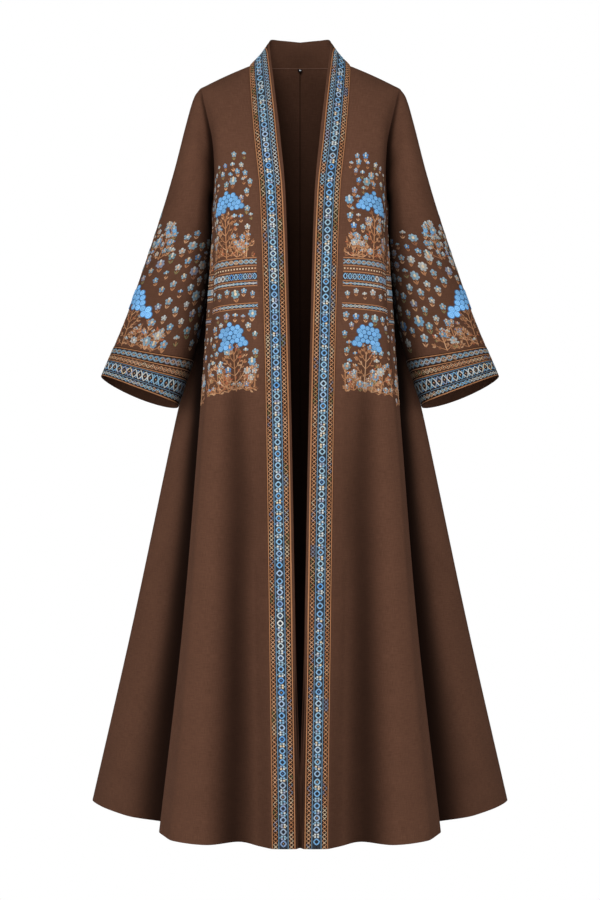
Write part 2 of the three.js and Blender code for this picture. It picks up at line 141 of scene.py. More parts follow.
BACK_ROWS = Table(
    "inner neck outer",
    (0, (62, 46), (94, 0), (140, 0)),
    (60, (50, 86), (92, 62), (138, 42)),
    (150, (50, 110), (95, 100), (138, 80)),
    (UNDERARM_DOWN, (52, 118), (98, 110), (138, 86)),
    (450, (58, 126), (108, 118), (148, 112)),
    (700, (72, 162), (138, 148), (198, 158)),
    (1060, (90, 214), (176, 180), (258, 202)),
    (LENGTH, (110, 264), (216, 212), (318, 256)),
)
SEAM_ROWS = Table(
    "front back",
    (UNDERARM_DOWN, (159, -32), (159, 38)),
    (330, (157.5, -60), (168, 64)),
    (450, (158.5, -84), (180, 84)),
    (700, (181, -97), (234, 122)),
    (1060, (208, -111), (304, 154)),
    (LENGTH, (247, -122), (384, 192)),
)
CENTRE_BACK_ROWS = Table("y", (0, 64), (60, 92), (150, 113), (UNDERARM_DOWN, 120), (450, 120),
                         (700, 152), (1060, 196), (LENGTH, 234))

# Sleeve: rings from the armhole at 0 to the cuff at 1.  "top" and "under" are (x, z).
SLEEVE_ROWS = Table(
    "top under deep y lag",
    (0, (187, -42), (159, -248), 43, 3, 0),
    (0.035, (198, -58), (166, -251), 46, 3, 0),
    (0.12, (211.5, -104), (168, -267), 52, 1, 0),
    (0.28, (237, -204), (166, -325), 55, -2, 2),
    (0.52, (276.5, -334), (172, -400), 54, -6, 6),
    (0.78, (323.5, -468), (190, -515), 48, -10, 12),
    (1, (371, -580), (229, -634), 42, -12, 19),
)


# ---- Curves through the tables ----
def through(knots, values, t):
    """Cubic pieces through values at the knots, each with the slope between its two neighbours.
    values has one entry for each knot first; t is an array of places on the knots' scale."""
    knots, values, t = (np.asarray(x, float) for x in (knots, values, t))
    count = len(knots)
    if values.ndim == 2:
        flat = values.reshape((count,) + (1,) * t.ndim + values.shape[1:])
        values = np.broadcast_to(flat, (count,) + t.shape + values.shape[1:])
    before = np.maximum(np.arange(count) - 1, 0)
    after = np.minimum(np.arange(count) + 1, count - 1)
    apart = (knots[after] - knots[before]).reshape((count,) + (1,) * (values.ndim - 1))
    slopes = (values[after] - values[before]) / apart
    k = np.clip(np.searchsorted(knots, t) - 1, 0, count - 2)

    def pick(array, at):
        return np.take_along_axis(array, at[None, ..., None], 0)[0]

    span = (knots[k + 1] - knots[k])[..., None]
    s = (t[..., None] - knots[k][..., None]) / span
    rise = 3 * s**2 - 2 * s**3
    bend = pick(slopes, k) * (s**3 - 2 * s**2 + s) + pick(slopes, k + 1) * (s**3 - s**2)
    return pick(values, k) * (1 - rise) + pick(values, k + 1) * rise + bend * span


def smooth(edge0, edge1, x):
    """0 before the first edge, 1 past the second, and three squares less two cubes between."""
    s = np.clip((x - edge0) / (edge1 - edge0), 0, 1)
    return s * s * (3 - 2 * s)


def together(*values):
    """Numbers or arrays as arrays of one shape."""
    return np.broadcast_arrays(*(np.asarray(value, float) for value in values))


def xyz(x, y, z):
    """Points from three numbers or arrays."""
    return np.stack(together(x, y, z), -1)


# ---- Seams ----
def skirt_height(down, x):
    """The drop, less a lift that grows with the square of x and the cube of the drop."""
    return -down + SIDE_LIFT * (down / LENGTH) ** 3 * (x / HALF_HEM) ** 2


def armhole(turn):
    """An upright egg: an ellipse in side view, whose x leans inward by the table."""
    angle = CIRCLE * np.asarray(turn, float)
    z = ARMHOLE_Z + ARMHOLE_HALF_HEIGHT * np.cos(angle)
    return xyz(ARMHOLE_LEAN.value("x", z), ARMHOLE_Y - ARMHOLE_HALF_DEPTH * np.sin(angle), z)


def armhole_turn(down):
    """The turn at a depth: even steps from the shoulder to the corner."""
    return (GORE_CORNER / 2) * (down / UNDERARM_DOWN)


def band_seam(down):
    """The seam of the band, shared by the neck and the front."""
    return BAND_ROWS.place("seam", down)


def side_seam(which, down):
    """The armhole as far as the gore's corner, then the seam's own table."""
    turn = armhole_turn(np.minimum(down, UNDERARM_DOWN))
    upper = armhole(turn if which == "front" else 1 - turn)
    first = armhole_turn(UNDERARM_DOWN)
    at = SEAM_ROWS.under[which]
    places = np.column_stack([at, skirt_height(SEAM_ROWS.at, at[:, 0])])
    places[0] = armhole(first if which == "front" else 1 - first)
    lower = through(SEAM_ROWS.at, places, down)
    return np.where((down <= UNDERARM_DOWN)[..., None], upper, lower)


def centre_back(down):
    """Down the middle by its table; the neck's lift runs out at the underarm."""
    neck = BAND_ROWS.under["seam"][0, 2]
    rise = neck * np.maximum(0, 1 - down / UNDERARM_DOWN)
    return xyz(0, CENTRE_BACK_ROWS.value("y", down), rise - down)


def shoulder_seam(share):
    """Straight from the side of the neck to the top of the armhole, with a slight arch."""
    share = np.asarray(share, float)[..., None]
    point = band_seam(np.array(0.0)) * (1 - share) + armhole(0) * share
    return point + np.array([0, 0, SHOULDER_RISE]) * np.sin(np.pi * share)


# ---- Panels as surfaces of (share, down) ----
def net_surface(rows, shares, inner, outer, start, settle, top):
    """Lines run down the panel at set shares of its width and a curve joins them across.
    The net meets its true upper edge over the first "settle" millimetres."""

    def line(name, share, down):
        """One line down the net, hung from a height between those of the two seams."""
        x, y = np.moveaxis(rows.place(name, down), -1, 0)
        a, b = inner(down), outer(down)
        level = a[..., 2] * (1 - share) + b[..., 2] * share
        low = skirt_height(down, a[..., 0]) * (1 - share) + skirt_height(down, b[..., 0]) * share
        skirt = skirt_height(down, x) + level - low
        return xyz(x, y, np.where(down > UNDERARM_DOWN, skirt, level))

    def across(share, down):
        """The curve through the two seams and the lines between."""
        middle = [line(name, at, down) for name, at in zip(rows.under, shares[1:])]
        return through(shares, np.stack([inner(down), *middle, outer(down)]), share)

    def surface(share, down):
        share, down = together(share, down)
        left = np.maximum(0, 1 - (down - start) / settle)[..., None]
        miss = top(share) - across(share, np.full_like(down, start))
        return across(share, down) + miss * left**2

    return surface


def back_top(share):
    """The neck over the first half of the share, then the shoulder."""
    neck = band_seam(BAND_START * (1 - np.minimum(2 * share, 1)))
    shoulder = shoulder_seam(np.maximum(2 * share - 1, 0))
    return np.where((share <= 0.5)[..., None], neck, shoulder)


def gore_top(share):
    """The underarm part of the armhole, at even turns between the two corners."""
    first = GORE_CORNER / 2
    return armhole(first + (1 - 2 * first) * share)


front_seam, back_seam_line = partial(side_seam, "front"), partial(side_seam, "back")
front_surface = net_surface(FRONT_ROWS, [0, 0.125, 0.375, 0.625, 0.875, 1],
                            band_seam, front_seam, 0, 60, shoulder_seam)
gore_surface = net_surface(GORE_ROWS, [0, 0.1, 0.3, 0.5, 0.8, 1],
                           front_seam, back_seam_line, UNDERARM_DOWN, 90, gore_top)
back_surface = net_surface(BACK_ROWS, [0, 0.25, 0.5, 0.75, 1],
                           centre_back, back_seam_line, 0, 60, back_top)


def band_surface(share, down):
    """Straight from seam to free edge, with a crown between and the bare edge rolled back."""
    share, down = together(share, down)
    s = share[..., None]
    point = band_seam(down) * (1 - s) + BAND_ROWS.place("edge", down) * s
    crown = BAND_CROWN * np.sin(np.pi * share) * smooth(0, CROWN_FULL_DOWN, down)
    past = np.maximum(0, share - RIBBON_SHARE) / (1 - RIBBON_SHARE)
    point[..., 1] += BAND_ROWS.value("roll", down) * past - crown
    return point


def sleeve_ring(turn, along):
    """A ring: its height swings from under to top as a cosine, its depth as a filled-out sine."""
    top, under = (SLEEVE_ROWS.place(name, along) for name in ("top", "under"))
    deep, y, lag = (SLEEVE_ROWS.value(name, along) for name in ("deep", "y", "lag"))
    angle = CIRCLE * turn
    reach = (1 + np.cos(angle)) / 2
    side = -np.sign(np.sin(angle)) * np.abs(np.sin(angle)) ** SLEEVE_SQUARE
    x = under[..., 0] * (1 - reach) + top[..., 0] * reach
    z = under[..., 1] * (1 - reach) + top[..., 1] * reach - lag * ((1 + side) / 2) ** 2
    return xyz(x, y + side * deep, z)


def sleeve_length(turn):
    """The sleeve's length at each turn: between its under and its top length as a cosine."""
    top, under = (math.dist(ends[0], ends[-1])
                  for ends in (SLEEVE_ROWS.under["top"], SLEEVE_ROWS.under["under"]))
    return under + (top - under) * (1 + np.cos(CIRCLE * turn)) / 2


def sleeve_surface(turn, up):
    """The sleeve as a surface of the turn round it and the way up from its end."""
    turn, up = together(turn, up)
    along = 1 - up / sleeve_length(turn)
    left = np.maximum(0, 1 - along / SLEEVE_SETTLE)[..., None] ** 2
    miss = armhole(turn) - sleeve_ring(turn, np.zeros_like(along))
    return sleeve_ring(turn, along) + miss * left


# ---- Cloth laid on the surfaces, with its creases ----
# A crease runs from (a0, b0) to (a1, b1) on the flat cloth, then come its width, its height, which
# is under 0 for a trough, and how far it bows sideways in the middle.
FRONT_CREASES = [
    (30, 520, 33, 1418, 11, -1.5, 2),
    (17, 430, 18, 1240, 8, 1.0, 1),
    (62, 610, 80, 1423, 15, 1.6, 4),
    (106, 860, 132, 1423, 13, -1.7, -3),
    (128, 1120, 160, 1423, 16, 1.4, 2),
    (96, 182, 52, 262, 11, -0.8, 5),
    (104, 210, 70, 330, 13, 0.7, 6),
    (20, 96, 64, 78, 14, -0.5, 3),
    (40, 1000, 52, 1200, 7, -0.6, 2),
]
GORE_CREASES = [
    (66, 224, 72, 320, 11, 9.5, 0),
    (64, 560, 110, 1423, 20, -2.6, 6),
    (118, 700, 182, 1423, 22, 2.2, -5),
    (150, 860, 236, 1423, 17, -2.0, 6),
    (96, 1040, 130, 1423, 12, 1.2, 3),
    (176, 1010, 282, 1423, 19, 1.8, 5),
    (48, 430, 66, 760, 12, -1.2, -4),
]
BACK_CREASES = [
    (18, 470, 34, 1423, 16, -2.4, 5),
    (64, 620, 92, 1423, 19, 2.2, -6),
    (120, 540, 172, 1423, 17, -2.6, 7),
    (150, 800, 226, 1423, 21, 2.4, 5),
    (96, 980, 134, 1423, 13, -1.5, -4),
    (190, 1080, 292, 1423, 16, -2.0, 6),
    (148, 150, 96, 232, 12, -1.3, 7),
    (150, 196, 108, 330, 15, 1.1, 8),
    (30, 60, 100, 84, 15, -0.8, -4),
    (52, 300, 60, 520, 18, 1.2, 4),
]
SLEEVE_CREASES = [  # b runs from the armhole, under 0, down to the cuff at 0
    (60, -478, 96, -316, 13, -1.6, 7),
    (92, -430, 124, -262, 11, 1.4, -6),
    (30, -400, 44, -210, 17, -1.1, 5),
    (-12, -350, 14, -150, 20, 1.0, -6),
    (74, -230, 92, -66, 15, -1.3, 4),
    (110, -246, 128, -74, 14, 1.1, -4),
    (24, -176, 40, -62, 14, 0.9, 3),
    (-58, -440, -92, -250, 14, -1.8, -8),
    (-100, -380, -118, -130, 15, 1.5, 7),
    (-36, -300, -60, -84, 18, -1.4, -5),
    (-130, -250, -140, -70, 13, -1.2, 4),
]

# Painted shade down in a fold, as (b, a, wide, dark): at depth b its middle is at a, wide is how
# far it reaches, and dark is 1 where no light is left; it darkens the cloth's colour.
FRONT_PAINTED_SHADE = [
    [(500, 55, 16, 0), (667, 56, 21, 0.31), (811, 55, 28, 0.40),
     (990, 64, 26, 0.50), (1170, 73, 30, 0.54), (1395, 88, 37, 0.52)],
    [(560, 10, 18, 0), (760, 12, 20, 0.14), (1400, 14, 24, 0.16)],
]
GORE_PAINTED_SHADE = [
    [(300, 122, 44, 0.7), (430, 122, 46, 0.92), (560, 112, 30, 0.93),
     (667, 108, 25, 0.93), (811, 108, 33, 0.94), (990, 120, 42, 0.90),
     (1170, 128, 42, 0.86), (1360, 129, 46, 0.77)],
]
BACK_PAINTED_SHADE = [
    [(420, 30, 12, 0), (800, 36, 22, 0.25), (1400, 50, 30, 0.38)],
    [(480, 130, 14, 0), (800, 146, 24, 0.25), (1400, 190, 34, 0.4)],
]
SLEEVE_PAINTED_SHADE = [  # painted shade by the armhole, under the arm and on the lower sleeve, which turns from the light
    [(-566, 12, 3, 0), (-552, 31, 3.5, 0.35), (-528, 52, 5, 0.5),
     (-497, 74, 7, 0.7), (-464, 94, 10, 0.84), (-433, 111, 16, 0.9),
     (-409, 132, 23, 0.92), (-392, 150, 28, 0.93), (-300, 166, 42, 0.92),
     (-200, 184, 44, 0.9), (-70, 192, 36, 0.8), (0, 190, 24, 0.5)],
    [(-430, 90, 200, 0), (-350, 90, 200, 0.05), (-280, 90, 200, 0.09),
     (0, 90, 200, 0.1)],
    [(-400, -170, 20, 0), (-380, -166, 26, 0.85), (-200, -188, 30, 0.82),
     (0, -192, 22, 0.45)],
]
BAND_PAINTED_SHADE = [  # painted shade: the bare edges are painted dark where the two fronts come together
    [(1150, 49.5, 1.2, 0), (1330, 49.5, 2.2, 0.85), (1700, 49.5, 2.6, 0.92)],
]
BODY_INSIDE_SHADE = ([0, 90, 300, 600], [0.12, 0.3, 0.52, 0.72])  # depth, and the painted shade of the inside
# Painted shade inside the sleeves, by depth: darkest near the armhole.
SLEEVE_INSIDE_SHADE = ([0, 700], [0.6, 0.15])

SEAM_SINK, SEAM_WIDE = 0.55, 2.2  # how far a sewn edge sinks, and over what width
TABLE_ACROSS, TABLE_DOWN = 161, 401  # places in a cloth's table


def between(places, x):
    """The last of the evenly spaced places before x, by number, and how far on x lies."""
    at = (x - places[0]) / (places[-1] - places[0]) * (len(places) - 1)
    k = np.clip(at.astype(int), 0, len(places) - 2)
    return k, at - k


def read(x, places, values):
    """A table read at x, whichever way its places run."""
    order = np.argsort(places)
    return np.interp(x, places[order], values[order])


class Cloth:
    """A piece's cloth.  surface is its shape as a function of two shares; flat places on it are
    (a, b) in millimetres: a is the arc across from the line a = 0, and b runs down.  On an upright
    cloth b is the depth below the shoulders; on another it goes with the second share alone."""

    def __init__(self, surface, across, down, outward, creases=(), start=None, arc_at=None,
                 upright=False, sewn=(True, True), folds=(), inside=BODY_INSIDE_SHADE):
        self.surface, self.outward, self.creases, self.sewn = surface, outward, creases, sewn
        self.upright, self.folds, self.inside = upright, folds, inside
        self.u, self.v = np.linspace(*across, TABLE_ACROSS), np.linspace(*down, TABLE_DOWN)
        u, v = np.meshgrid(self.u, self.v)
        points = surface(u, v)
        self.table = np.concatenate([points, self.way_out(u, v)], axis=-1)
        step = np.linalg.norm(np.diff(points, axis=1), axis=2)
        self.a = np.concatenate([np.zeros((len(self.v), 1)), np.cumsum(step, axis=1)], axis=1)
        if start is not None:
            self.a = self.a - self.a[:, [int(np.argmin(abs(self.u - start)))]]
        self.b = self.v
        if arc_at is not None:
            line = surface(np.full_like(self.v, arc_at), self.v)
            run = np.linalg.norm(np.diff(line, axis=0), axis=1)
            self.b = np.concatenate([[0], np.cumsum(run)])

    def edge(self, v, end=-1):
        """The arc at one end of the row at v."""
        return read(v, self.v, self.a[:, end])

    def _arcs(self, v):
        """The arc to every column on the row at v, mixed between two rows."""
        row, part = between(self.v, v)
        return self.a[row] * (1 - part)[:, None] + self.a[row + 1] * part[:, None]

    def _across(self, a, v):
        """The share across at the arc a: the row's arcs read backwards."""
        arcs = self._arcs(v)
        k = np.clip((arcs < a[:, None]).sum(1) - 1, 0, len(self.u) - 2)
        each = np.arange(len(a))
        part = (a - arcs[each, k]) / (arcs[each, k + 1] - arcs[each, k])
        return self.u[k] + part * (self.u[1] - self.u[0])

    def _from_table(self, u, v):
        """The point and its outward direction, mixed between the four entries round (u, v)."""
        (i, s), (j, t) = between(self.u, u), between(self.v, v)
        s, t = s[..., None], t[..., None]
        near = self.table[j, i] * (1 - s) + self.table[j, i + 1] * s
        far = self.table[j + 1, i] * (1 - s) + self.table[j + 1, i + 1] * s
        return near * (1 - t) + far * t

    def flat(self, u, v):
        """Flat places of shares: the arc to u on the two rows beside v, mixed."""
        shape = np.shape(u)
        u, v = np.ravel(u), np.ravel(v)
        k, part = between(self.u, np.clip(u, self.u[0], self.u[-1]))
        arcs = self._arcs(v)
        each = np.arange(len(u))
        a = arcs[each, k] * (1 - part) + arcs[each, k + 1] * part
        b = -self._from_table(u, v)[:, 2] if self.upright else read(v, self.v, self.b)
        return a.reshape(shape), b.reshape(shape)

    def shares(self, a, b):
        """Shares of flat places.  On an upright cloth the row is moved until its depth is b."""
        v = read(b, self.b, self.v)
        u = self._across(a, v)
        for _ in range(5 if self.upright else 0):
            v = v + 0.85 * (b + self._from_table(u, v)[:, 2])
            u = self._across(a, v)
        return u, v

    def relief(self, a, b, v):
        """Each crease is a bell across its line and a half wave along it; sewn edges sink."""
        total = np.zeros(np.shape(a))
        for a0, b0, a1, b1, wide, deep, bow in self.creases:
            run_a, run_b = a1 - a0, b1 - b0
            long = math.hypot(run_a, run_b)
            along = np.clip(((a - a0) * run_a + (b - b0) * run_b) / long**2, 0, 1)
            aside = ((a - a0) * run_b - (b - b0) * run_a) / long - bow * np.sin(np.pi * along)
            total += deep * np.exp(-(aside / wide) ** 2) * np.sin(np.pi * along) ** 0.7
        for end, sewn in zip((0, -1), self.sewn):
            if sewn:
                total -= SEAM_SINK * np.exp(-((a - self.edge(v, end)) / SEAM_WIDE) ** 2)
        return total

    def shade(self, a, b):
        """The painted shade: the darkest of the bells in the shade tables, 0 where there is none.
        """
        total = np.zeros(np.shape(a))
        for rows in self.folds:
            at, middle, wide, dark = np.array(rows, float).T
            aside = (a - np.interp(b, at, middle)) / np.interp(b, at, wide)
            total = np.maximum(total, np.interp(b, at, dark) * np.exp(-aside ** 2))
        return total

    def way_out(self, u, v):
        """The cloth's outward direction: across times along, from small steps to either side."""
        du, dv = (2e-3 * abs(places[-1] - places[0]) for places in (self.u, self.v))
        across = self.surface(u + du, v) - self.surface(u - du, v)
        along = self.surface(u, v + dv) - self.surface(u, v - dv)
        normal = np.cross(across, along) * self.outward
        return normal / np.linalg.norm(normal, axis=-1, keepdims=True)

    def lay(self, a, b, lift):
        """Points on the creased cloth over flat places, lifted off its middle."""
        u, v = self.shares(a, b)
        here = self._from_table(u, v)
        return here[..., :3] + here[..., 3:] * (lift + self.relief(a, b, v))[..., None]


FRONT = Cloth(front_surface, (0, 1), (0, LENGTH), -1, FRONT_CREASES, upright=True,
              folds=FRONT_PAINTED_SHADE)
GORE = Cloth(gore_surface, (0, 1), (UNDERARM_DOWN, LENGTH), -1, GORE_CREASES, upright=True,
             folds=GORE_PAINTED_SHADE)
BACK = Cloth(back_surface, (0, 1), (0, LENGTH), 1, BACK_CREASES, upright=True,
             folds=BACK_PAINTED_SHADE)
BAND = Cloth(band_surface, (0, 1), (BAND_START, LENGTH), 1, arc_at=RIBBON_SHARE / 2,
             sewn=(True, False), folds=BAND_PAINTED_SHADE)
SLEEVE_LONG = float(sleeve_length(0.0))
SLEEVE = Cloth(sleeve_surface, (-0.5, 0.5), (SLEEVE_LONG, 0), -1, SLEEVE_CREASES, start=0,
               sewn=(False, False), folds=SLEEVE_PAINTED_SHADE, inside=SLEEVE_INSIDE_SHADE)
SLEEVE.b = -SLEEVE.v


# ---- Making meshes ----
def named(kind, side):
    """A piece's name with its side."""
    return f"{kind}_{'left' if side > 0 else 'right'}"


def in_scene(name, data):
    """An object that stands at the origin, put into the scene."""
    made = bpy.data.objects.new(name, data)
    bpy.context.scene.collection.objects.link(made)
    return made


def outside_out(points, faces):
    """Whether the closed shape's volume is over 0, as it is when its faces point outwards."""
    volume = 0.0
    for face in faces:
        corner = points[face]
        for k in range(1, face.shape[1] - 1):
            normal = np.cross(corner[:, k], corner[:, k + 1])
            volume += np.einsum("ij,ij->", corner[:, 0], normal)
    return volume >= 0


def new_piece(name, points, faces, finish, flat, dyes=None, shades=None, keen=40.0):
    """A mesh object from points in millimetres, faces as arrays of corner numbers, a flat place
    for each corner, and for each point a thread colour with painted shade in it, or the
    cloth's own painted shade."""
    if not outside_out(points, faces):
        faces, flat = ([each[:, ::-1] for each in group] for group in (faces, flat))
    mesh = bpy.data.meshes.new(name)
    corners = np.concatenate([face.ravel() for face in faces])
    sizes = np.concatenate([np.full(len(face), face.shape[1]) for face in faces])
    starts = np.concatenate([[0], np.cumsum(sizes)[:-1]])
    mesh.vertices.add(len(points))
    mesh.vertices.foreach_set("co", (points * MM).ravel())
    mesh.loops.add(len(corners))
    mesh.loops.foreach_set("vertex_index", corners)
    mesh.polygons.add(len(sizes))
    mesh.polygons.foreach_set("loop_start", starts)
    mesh.polygons.foreach_set("use_smooth", np.ones(len(sizes), bool))
    mesh.update(calc_edges=True)
    places = np.concatenate([place.reshape(-1, 2) for place in flat])
    mesh.uv_layers.new(name="weave").uv.foreach_set("vector", (places * MM).ravel())
    # Thread colours go on as "dye" with painted shade in them; cloth carries its painted shade as
    # a value.
    if dyes is not None:
        colours = mesh.color_attributes.new("dye", "FLOAT_COLOR", "POINT")
        full = np.concatenate([dyes, np.ones((len(dyes), 1))], axis=1)
        colours.data.foreach_set("color", full.ravel())
    if shades is not None:
        layer = mesh.attributes.new("fold", "FLOAT", "POINT")
        layer.data.foreach_set("value", shades)
    mesh.set_sharp_from_angle(angle=math.radians(keen))
    mesh.materials.append(finish)
    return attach(in_scene(name, mesh), "root")


def wall(middle, out, inside, outside, wrap=False):
    """A closed wall between two offsets of a grid of points, its rims joined; with the points and
    faces comes each face's corners' rows and unwrapped columns in the grid."""
    rows, columns = middle.shape[:2]
    lining = rows * columns
    points = np.concatenate([(middle + out * o).reshape(-1, 3) for o in (outside, inside)])
    every_j, every_i = np.arange(rows), np.arange(columns + 1 if wrap else columns)
    j, i = np.meshgrid(every_j[:-1], every_i[:-1], indexing="ij")
    row = np.stack([j, j, j + 1, j + 1], -1).reshape(-1, 4)
    across = np.stack([i, i + 1, i + 1, i], -1).reshape(-1, 4)
    skin = row * columns + across % columns
    faces = [skin, skin[:, ::-1] + lining]
    places = [(row, across), (row[:, ::-1], across[:, ::-1])]
    rims = [(0 * every_i, every_i), (0 * every_i + rows - 1, every_i[::-1])]
    if not wrap:
        rims += [(every_j[::-1], 0 * every_j), (every_j, 0 * every_j + columns - 1)]
    for j, i in rims:
        one = j * columns + i % columns
        faces.append(np.stack([one[:-1], one[:-1] + lining, one[1:] + lining, one[1:]], -1))
        places.append([np.stack([x[:-1], x[:-1], x[1:], x[1:]], -1) for x in (j, i)])
    return points, faces, places


def spaced(count, gather=0.55):
    """Shares from 0 to 1 that gather towards both ends."""
    t = np.linspace(0, 1, count)
    return t * (1 - gather) + (0.5 - 0.5 * np.cos(np.pi * t)) * gather


def to_side(points, side):
    """The wearer's left as worked out, the right with x turned round."""
    return points * np.array([side, 1.0, 1.0])


def shell(kind, cloth, side, finish, u, v, inside=-HALF_THICK, outside=HALF_THICK,
          slot="cloth", wrap=False):
    """A thin shell on a cloth: u and v are grids of shares, inside and outside its two lifts."""
    a, b = cloth.flat(u, v)
    out = cloth.way_out(u, v)
    middle = cloth.surface(u, v) + out * cloth.relief(a, b, v)[..., None]
    # Painted shade: the shade tables on the outer skin, darkness by depth on the inner skin.
    shades = np.concatenate([cloth.shade(a, b).ravel(),
                             np.interp(-middle[..., 2], *cloth.inside).ravel()])
    points, faces, places = wall(middle, out, inside, outside, wrap)
    if wrap:
        whole = cloth.edge(v[:, :1]) - cloth.edge(v[:, :1], 0)
        a = np.concatenate([a, a[:, :1] + whole], axis=1)
        b = np.concatenate([b, b[:, :1]], axis=1)
    flat = [np.stack([a[j, i], b[j, i]], -1) for j, i in places]
    return new_piece(named(kind, side), to_side(points, side), faces, finish, flat,
                     shades=shades)


# ---- Colours ----
def dye(red, green, blue):
    """A colour given as a dyer's 0 to 255 values, made linear."""
    c = np.array([red, green, blue]) / 255
    return np.where(c <= 0.04045, c / 12.92, ((c + 0.055) / 1.055) ** 2.4)


BROWN = dye(97, 66, 51)
PAINTED_SHADE_BROWN = dye(20, 8, 4)  # painted shade: the brown the cloth is painted where no light reaches it
NAVY, SLATE = dye(14, 18, 28), dye(26, 36, 48)
SKY, SKY_PALE, SKY_DEEP = dye(94, 156, 214), dye(134, 184, 218), dye(56, 104, 160)
ICE, AQUA = dye(152, 186, 204), dye(138, 178, 190)
WHITE, LAVENDER = dye(214, 218, 216), dye(158, 166, 190)
CREAM, PEACH = dye(230, 208, 174), dye(224, 172, 132)
COPPER, COPPER_PALE, COPPER_DEEP = dye(184, 126, 82), dye(210, 160, 118), dye(146, 92, 56)
RUST, OLIVE = dye(190, 100, 58), dye(126, 122, 76)


# ---- Material making ----
def node(tree, kind, inputs=(), **settings):
    """A node with its settings; inputs are (socket, value or output) pairs."""
    made = tree.nodes.new(kind)
    for key, value in settings.items():
        setattr(made, key, value)
    for socket, value in inputs:
        if isinstance(value, bpy.types.NodeSocket):
            tree.links.new(value, made.inputs[socket])
        else:
            made.inputs[socket].default_value = value
    return made


def maths(tree, operation, *values):
    """A sum or a product of values, taken two at a time, or another operation on them."""
    if len(values) > 2:
        values = maths(tree, operation, *values[:-1]), values[-1]
    return node(tree, "ShaderNodeMath", list(enumerate(values)), operation=operation).outputs[0]


def shaded(tree, colour, shade):
    """A colour times a value."""
    return node(tree, "ShaderNodeVectorMath", [(0, colour), (1, shade)],
                operation="MULTIPLY").outputs[0]


def raised(tree, height, strength, distance):
    """The normal of a surface raised by a height, in metres at most."""
    return node(tree, "ShaderNodeBump", [("Strength", strength), ("Distance", distance),
                                         ("Height", height)]).outputs[0]


def ripple(tree, along, per_metre):
    """A sine wave of a place, so many to the metre."""
    return maths(tree, "SINE", maths(tree, "MULTIPLY", along, per_metre, CIRCLE))


def unevenness(tree, place, scale, detail, rough=0.5):
    """Noise between about minus a half and a half."""
    noise = node(tree, "ShaderNodeTexNoise", [("Vector", place), ("Scale", scale),
                                              ("Detail", detail), ("Roughness", rough)])
    return maths(tree, "SUBTRACT", noise.outputs[0], 0.5)


def new_effect(name, inputs):
    """A node group that gives out a colour and a normal; its given sockets, and what sets them."""
    group = bpy.data.node_groups.new(name, "ShaderNodeTree")
    for label, kind, *value in inputs:
        socket = group.interface.new_socket(label, in_out="INPUT", socket_type=kind)
        if value:
            socket.default_value = value[0]
    for label, kind in (("Colour", "NodeSocketColor"), ("Normal", "NodeSocketVector")):
        group.interface.new_socket(label, in_out="OUTPUT", socket_type=kind)
    given, out = group.nodes.new("NodeGroupInput"), group.nodes.new("NodeGroupOutput")

    def give(colour, normal):
        group.links.new(colour, out.inputs["Colour"])
        group.links.new(normal, out.inputs["Normal"])

    return group, given.outputs, give


def make_linen_group():
    """Plain weave with slubs.  Warp and weft are sine waves of the flat place, and the colour is
    painted a little lighter where they rise, a painted shade of the weave; slubs are noise
    stretched along either thread; a broad noise mottles the dye.  Where the piece's painted shade
    is set, the colour goes over to the painted shade colour as the square of what light is left."""
    group, given, give = new_effect("linen", [
        ("Place", "NodeSocketVector"), ("Threads per m", "NodeSocketFloat", 1500.0),
        ("Slub", "NodeSocketFloat", 0.5), ("Mottle", "NodeSocketFloat", 0.4),
        ("Raise", "NodeSocketFloat", 0.3), ("Fold", "NodeSocketFloat", 0.0),
        ("Colour", "NodeSocketColor"), ("Deep", "NodeSocketColor")])
    place = given["Place"]
    split = node(group, "ShaderNodeSeparateXYZ", [(0, place)])
    weave = maths(group, "MULTIPLY", *[ripple(group, split.outputs[axis], given["Threads per m"])
                                       for axis in (0, 1)])
    slubs = []
    for stretch in ((900.0, 70.0, 1.0), (60.0, 800.0, 1.0)):
        moved = node(group, "ShaderNodeMapping", [(0, place), (3, stretch)])
        slubs.append(unevenness(group, moved.outputs[0], 1.0, 2.0, 0.6))
    slub = maths(group, "MULTIPLY", maths(group, "ADD", *slubs), given["Slub"])
    mottle = maths(group, "MULTIPLY", unevenness(group, place, 14.0, 3.0, 0.55), given["Mottle"])
    shade = maths(group, "ADD", slub, mottle, maths(group, "MULTIPLY", weave, 0.05), 1.0)
    light = maths(group, "POWER", maths(group, "SUBTRACT", 1.0, given["Fold"]), 2.0)
    mix = node(group, "ShaderNodeMix", [(0, light), (6, given["Deep"]),
                                        (7, shaded(group, given["Colour"], shade))],
               data_type="RGBA")
    height = maths(group, "ADD", maths(group, "MULTIPLY", weave, 0.3), slub)
    give(mix.outputs[2], raised(group, height, given["Raise"], 0.0004))
    return group


def make_floss_group():
    """Satin stitches: fine ridges square to the run of the stitches, uneven in depth; the colour
    is painted lighter on the ridges and darker between them, a painted shade of the stitches.
    """
    group, given, give = new_effect("floss", [
        ("Place", "NodeSocketVector"), ("Stitches per m", "NodeSocketFloat", 1900.0),
        ("Colour", "NodeSocketColor")])
    split = node(group, "ShaderNodeSeparateXYZ", [(0, given["Place"])])
    wave = ripple(group, split.outputs[0], given["Stitches per m"])
    height = maths(group, "ADD", maths(group, "MULTIPLY", wave, 0.5),
                   unevenness(group, given["Place"], 420.0, 2.0))
    shade = maths(group, "ADD", maths(group, "MULTIPLY", height, 0.22), 1.0)
    give(shaded(group, given["Colour"], shade), raised(group, height, 0.5, 0.0002))
    return group


LINEN = make_linen_group()
FLOSS = make_floss_group()


def new_finish(name, **skin):
    """A material with constants on its Principled."""
    finish = bpy.data.materials.new(name)
    finish.use_nodes = True
    principled = finish.node_tree.nodes["Principled BSDF"]
    for label, value in skin.items():
        principled.inputs[label.replace("_", " ")].default_value = value
    return finish, finish.node_tree, principled


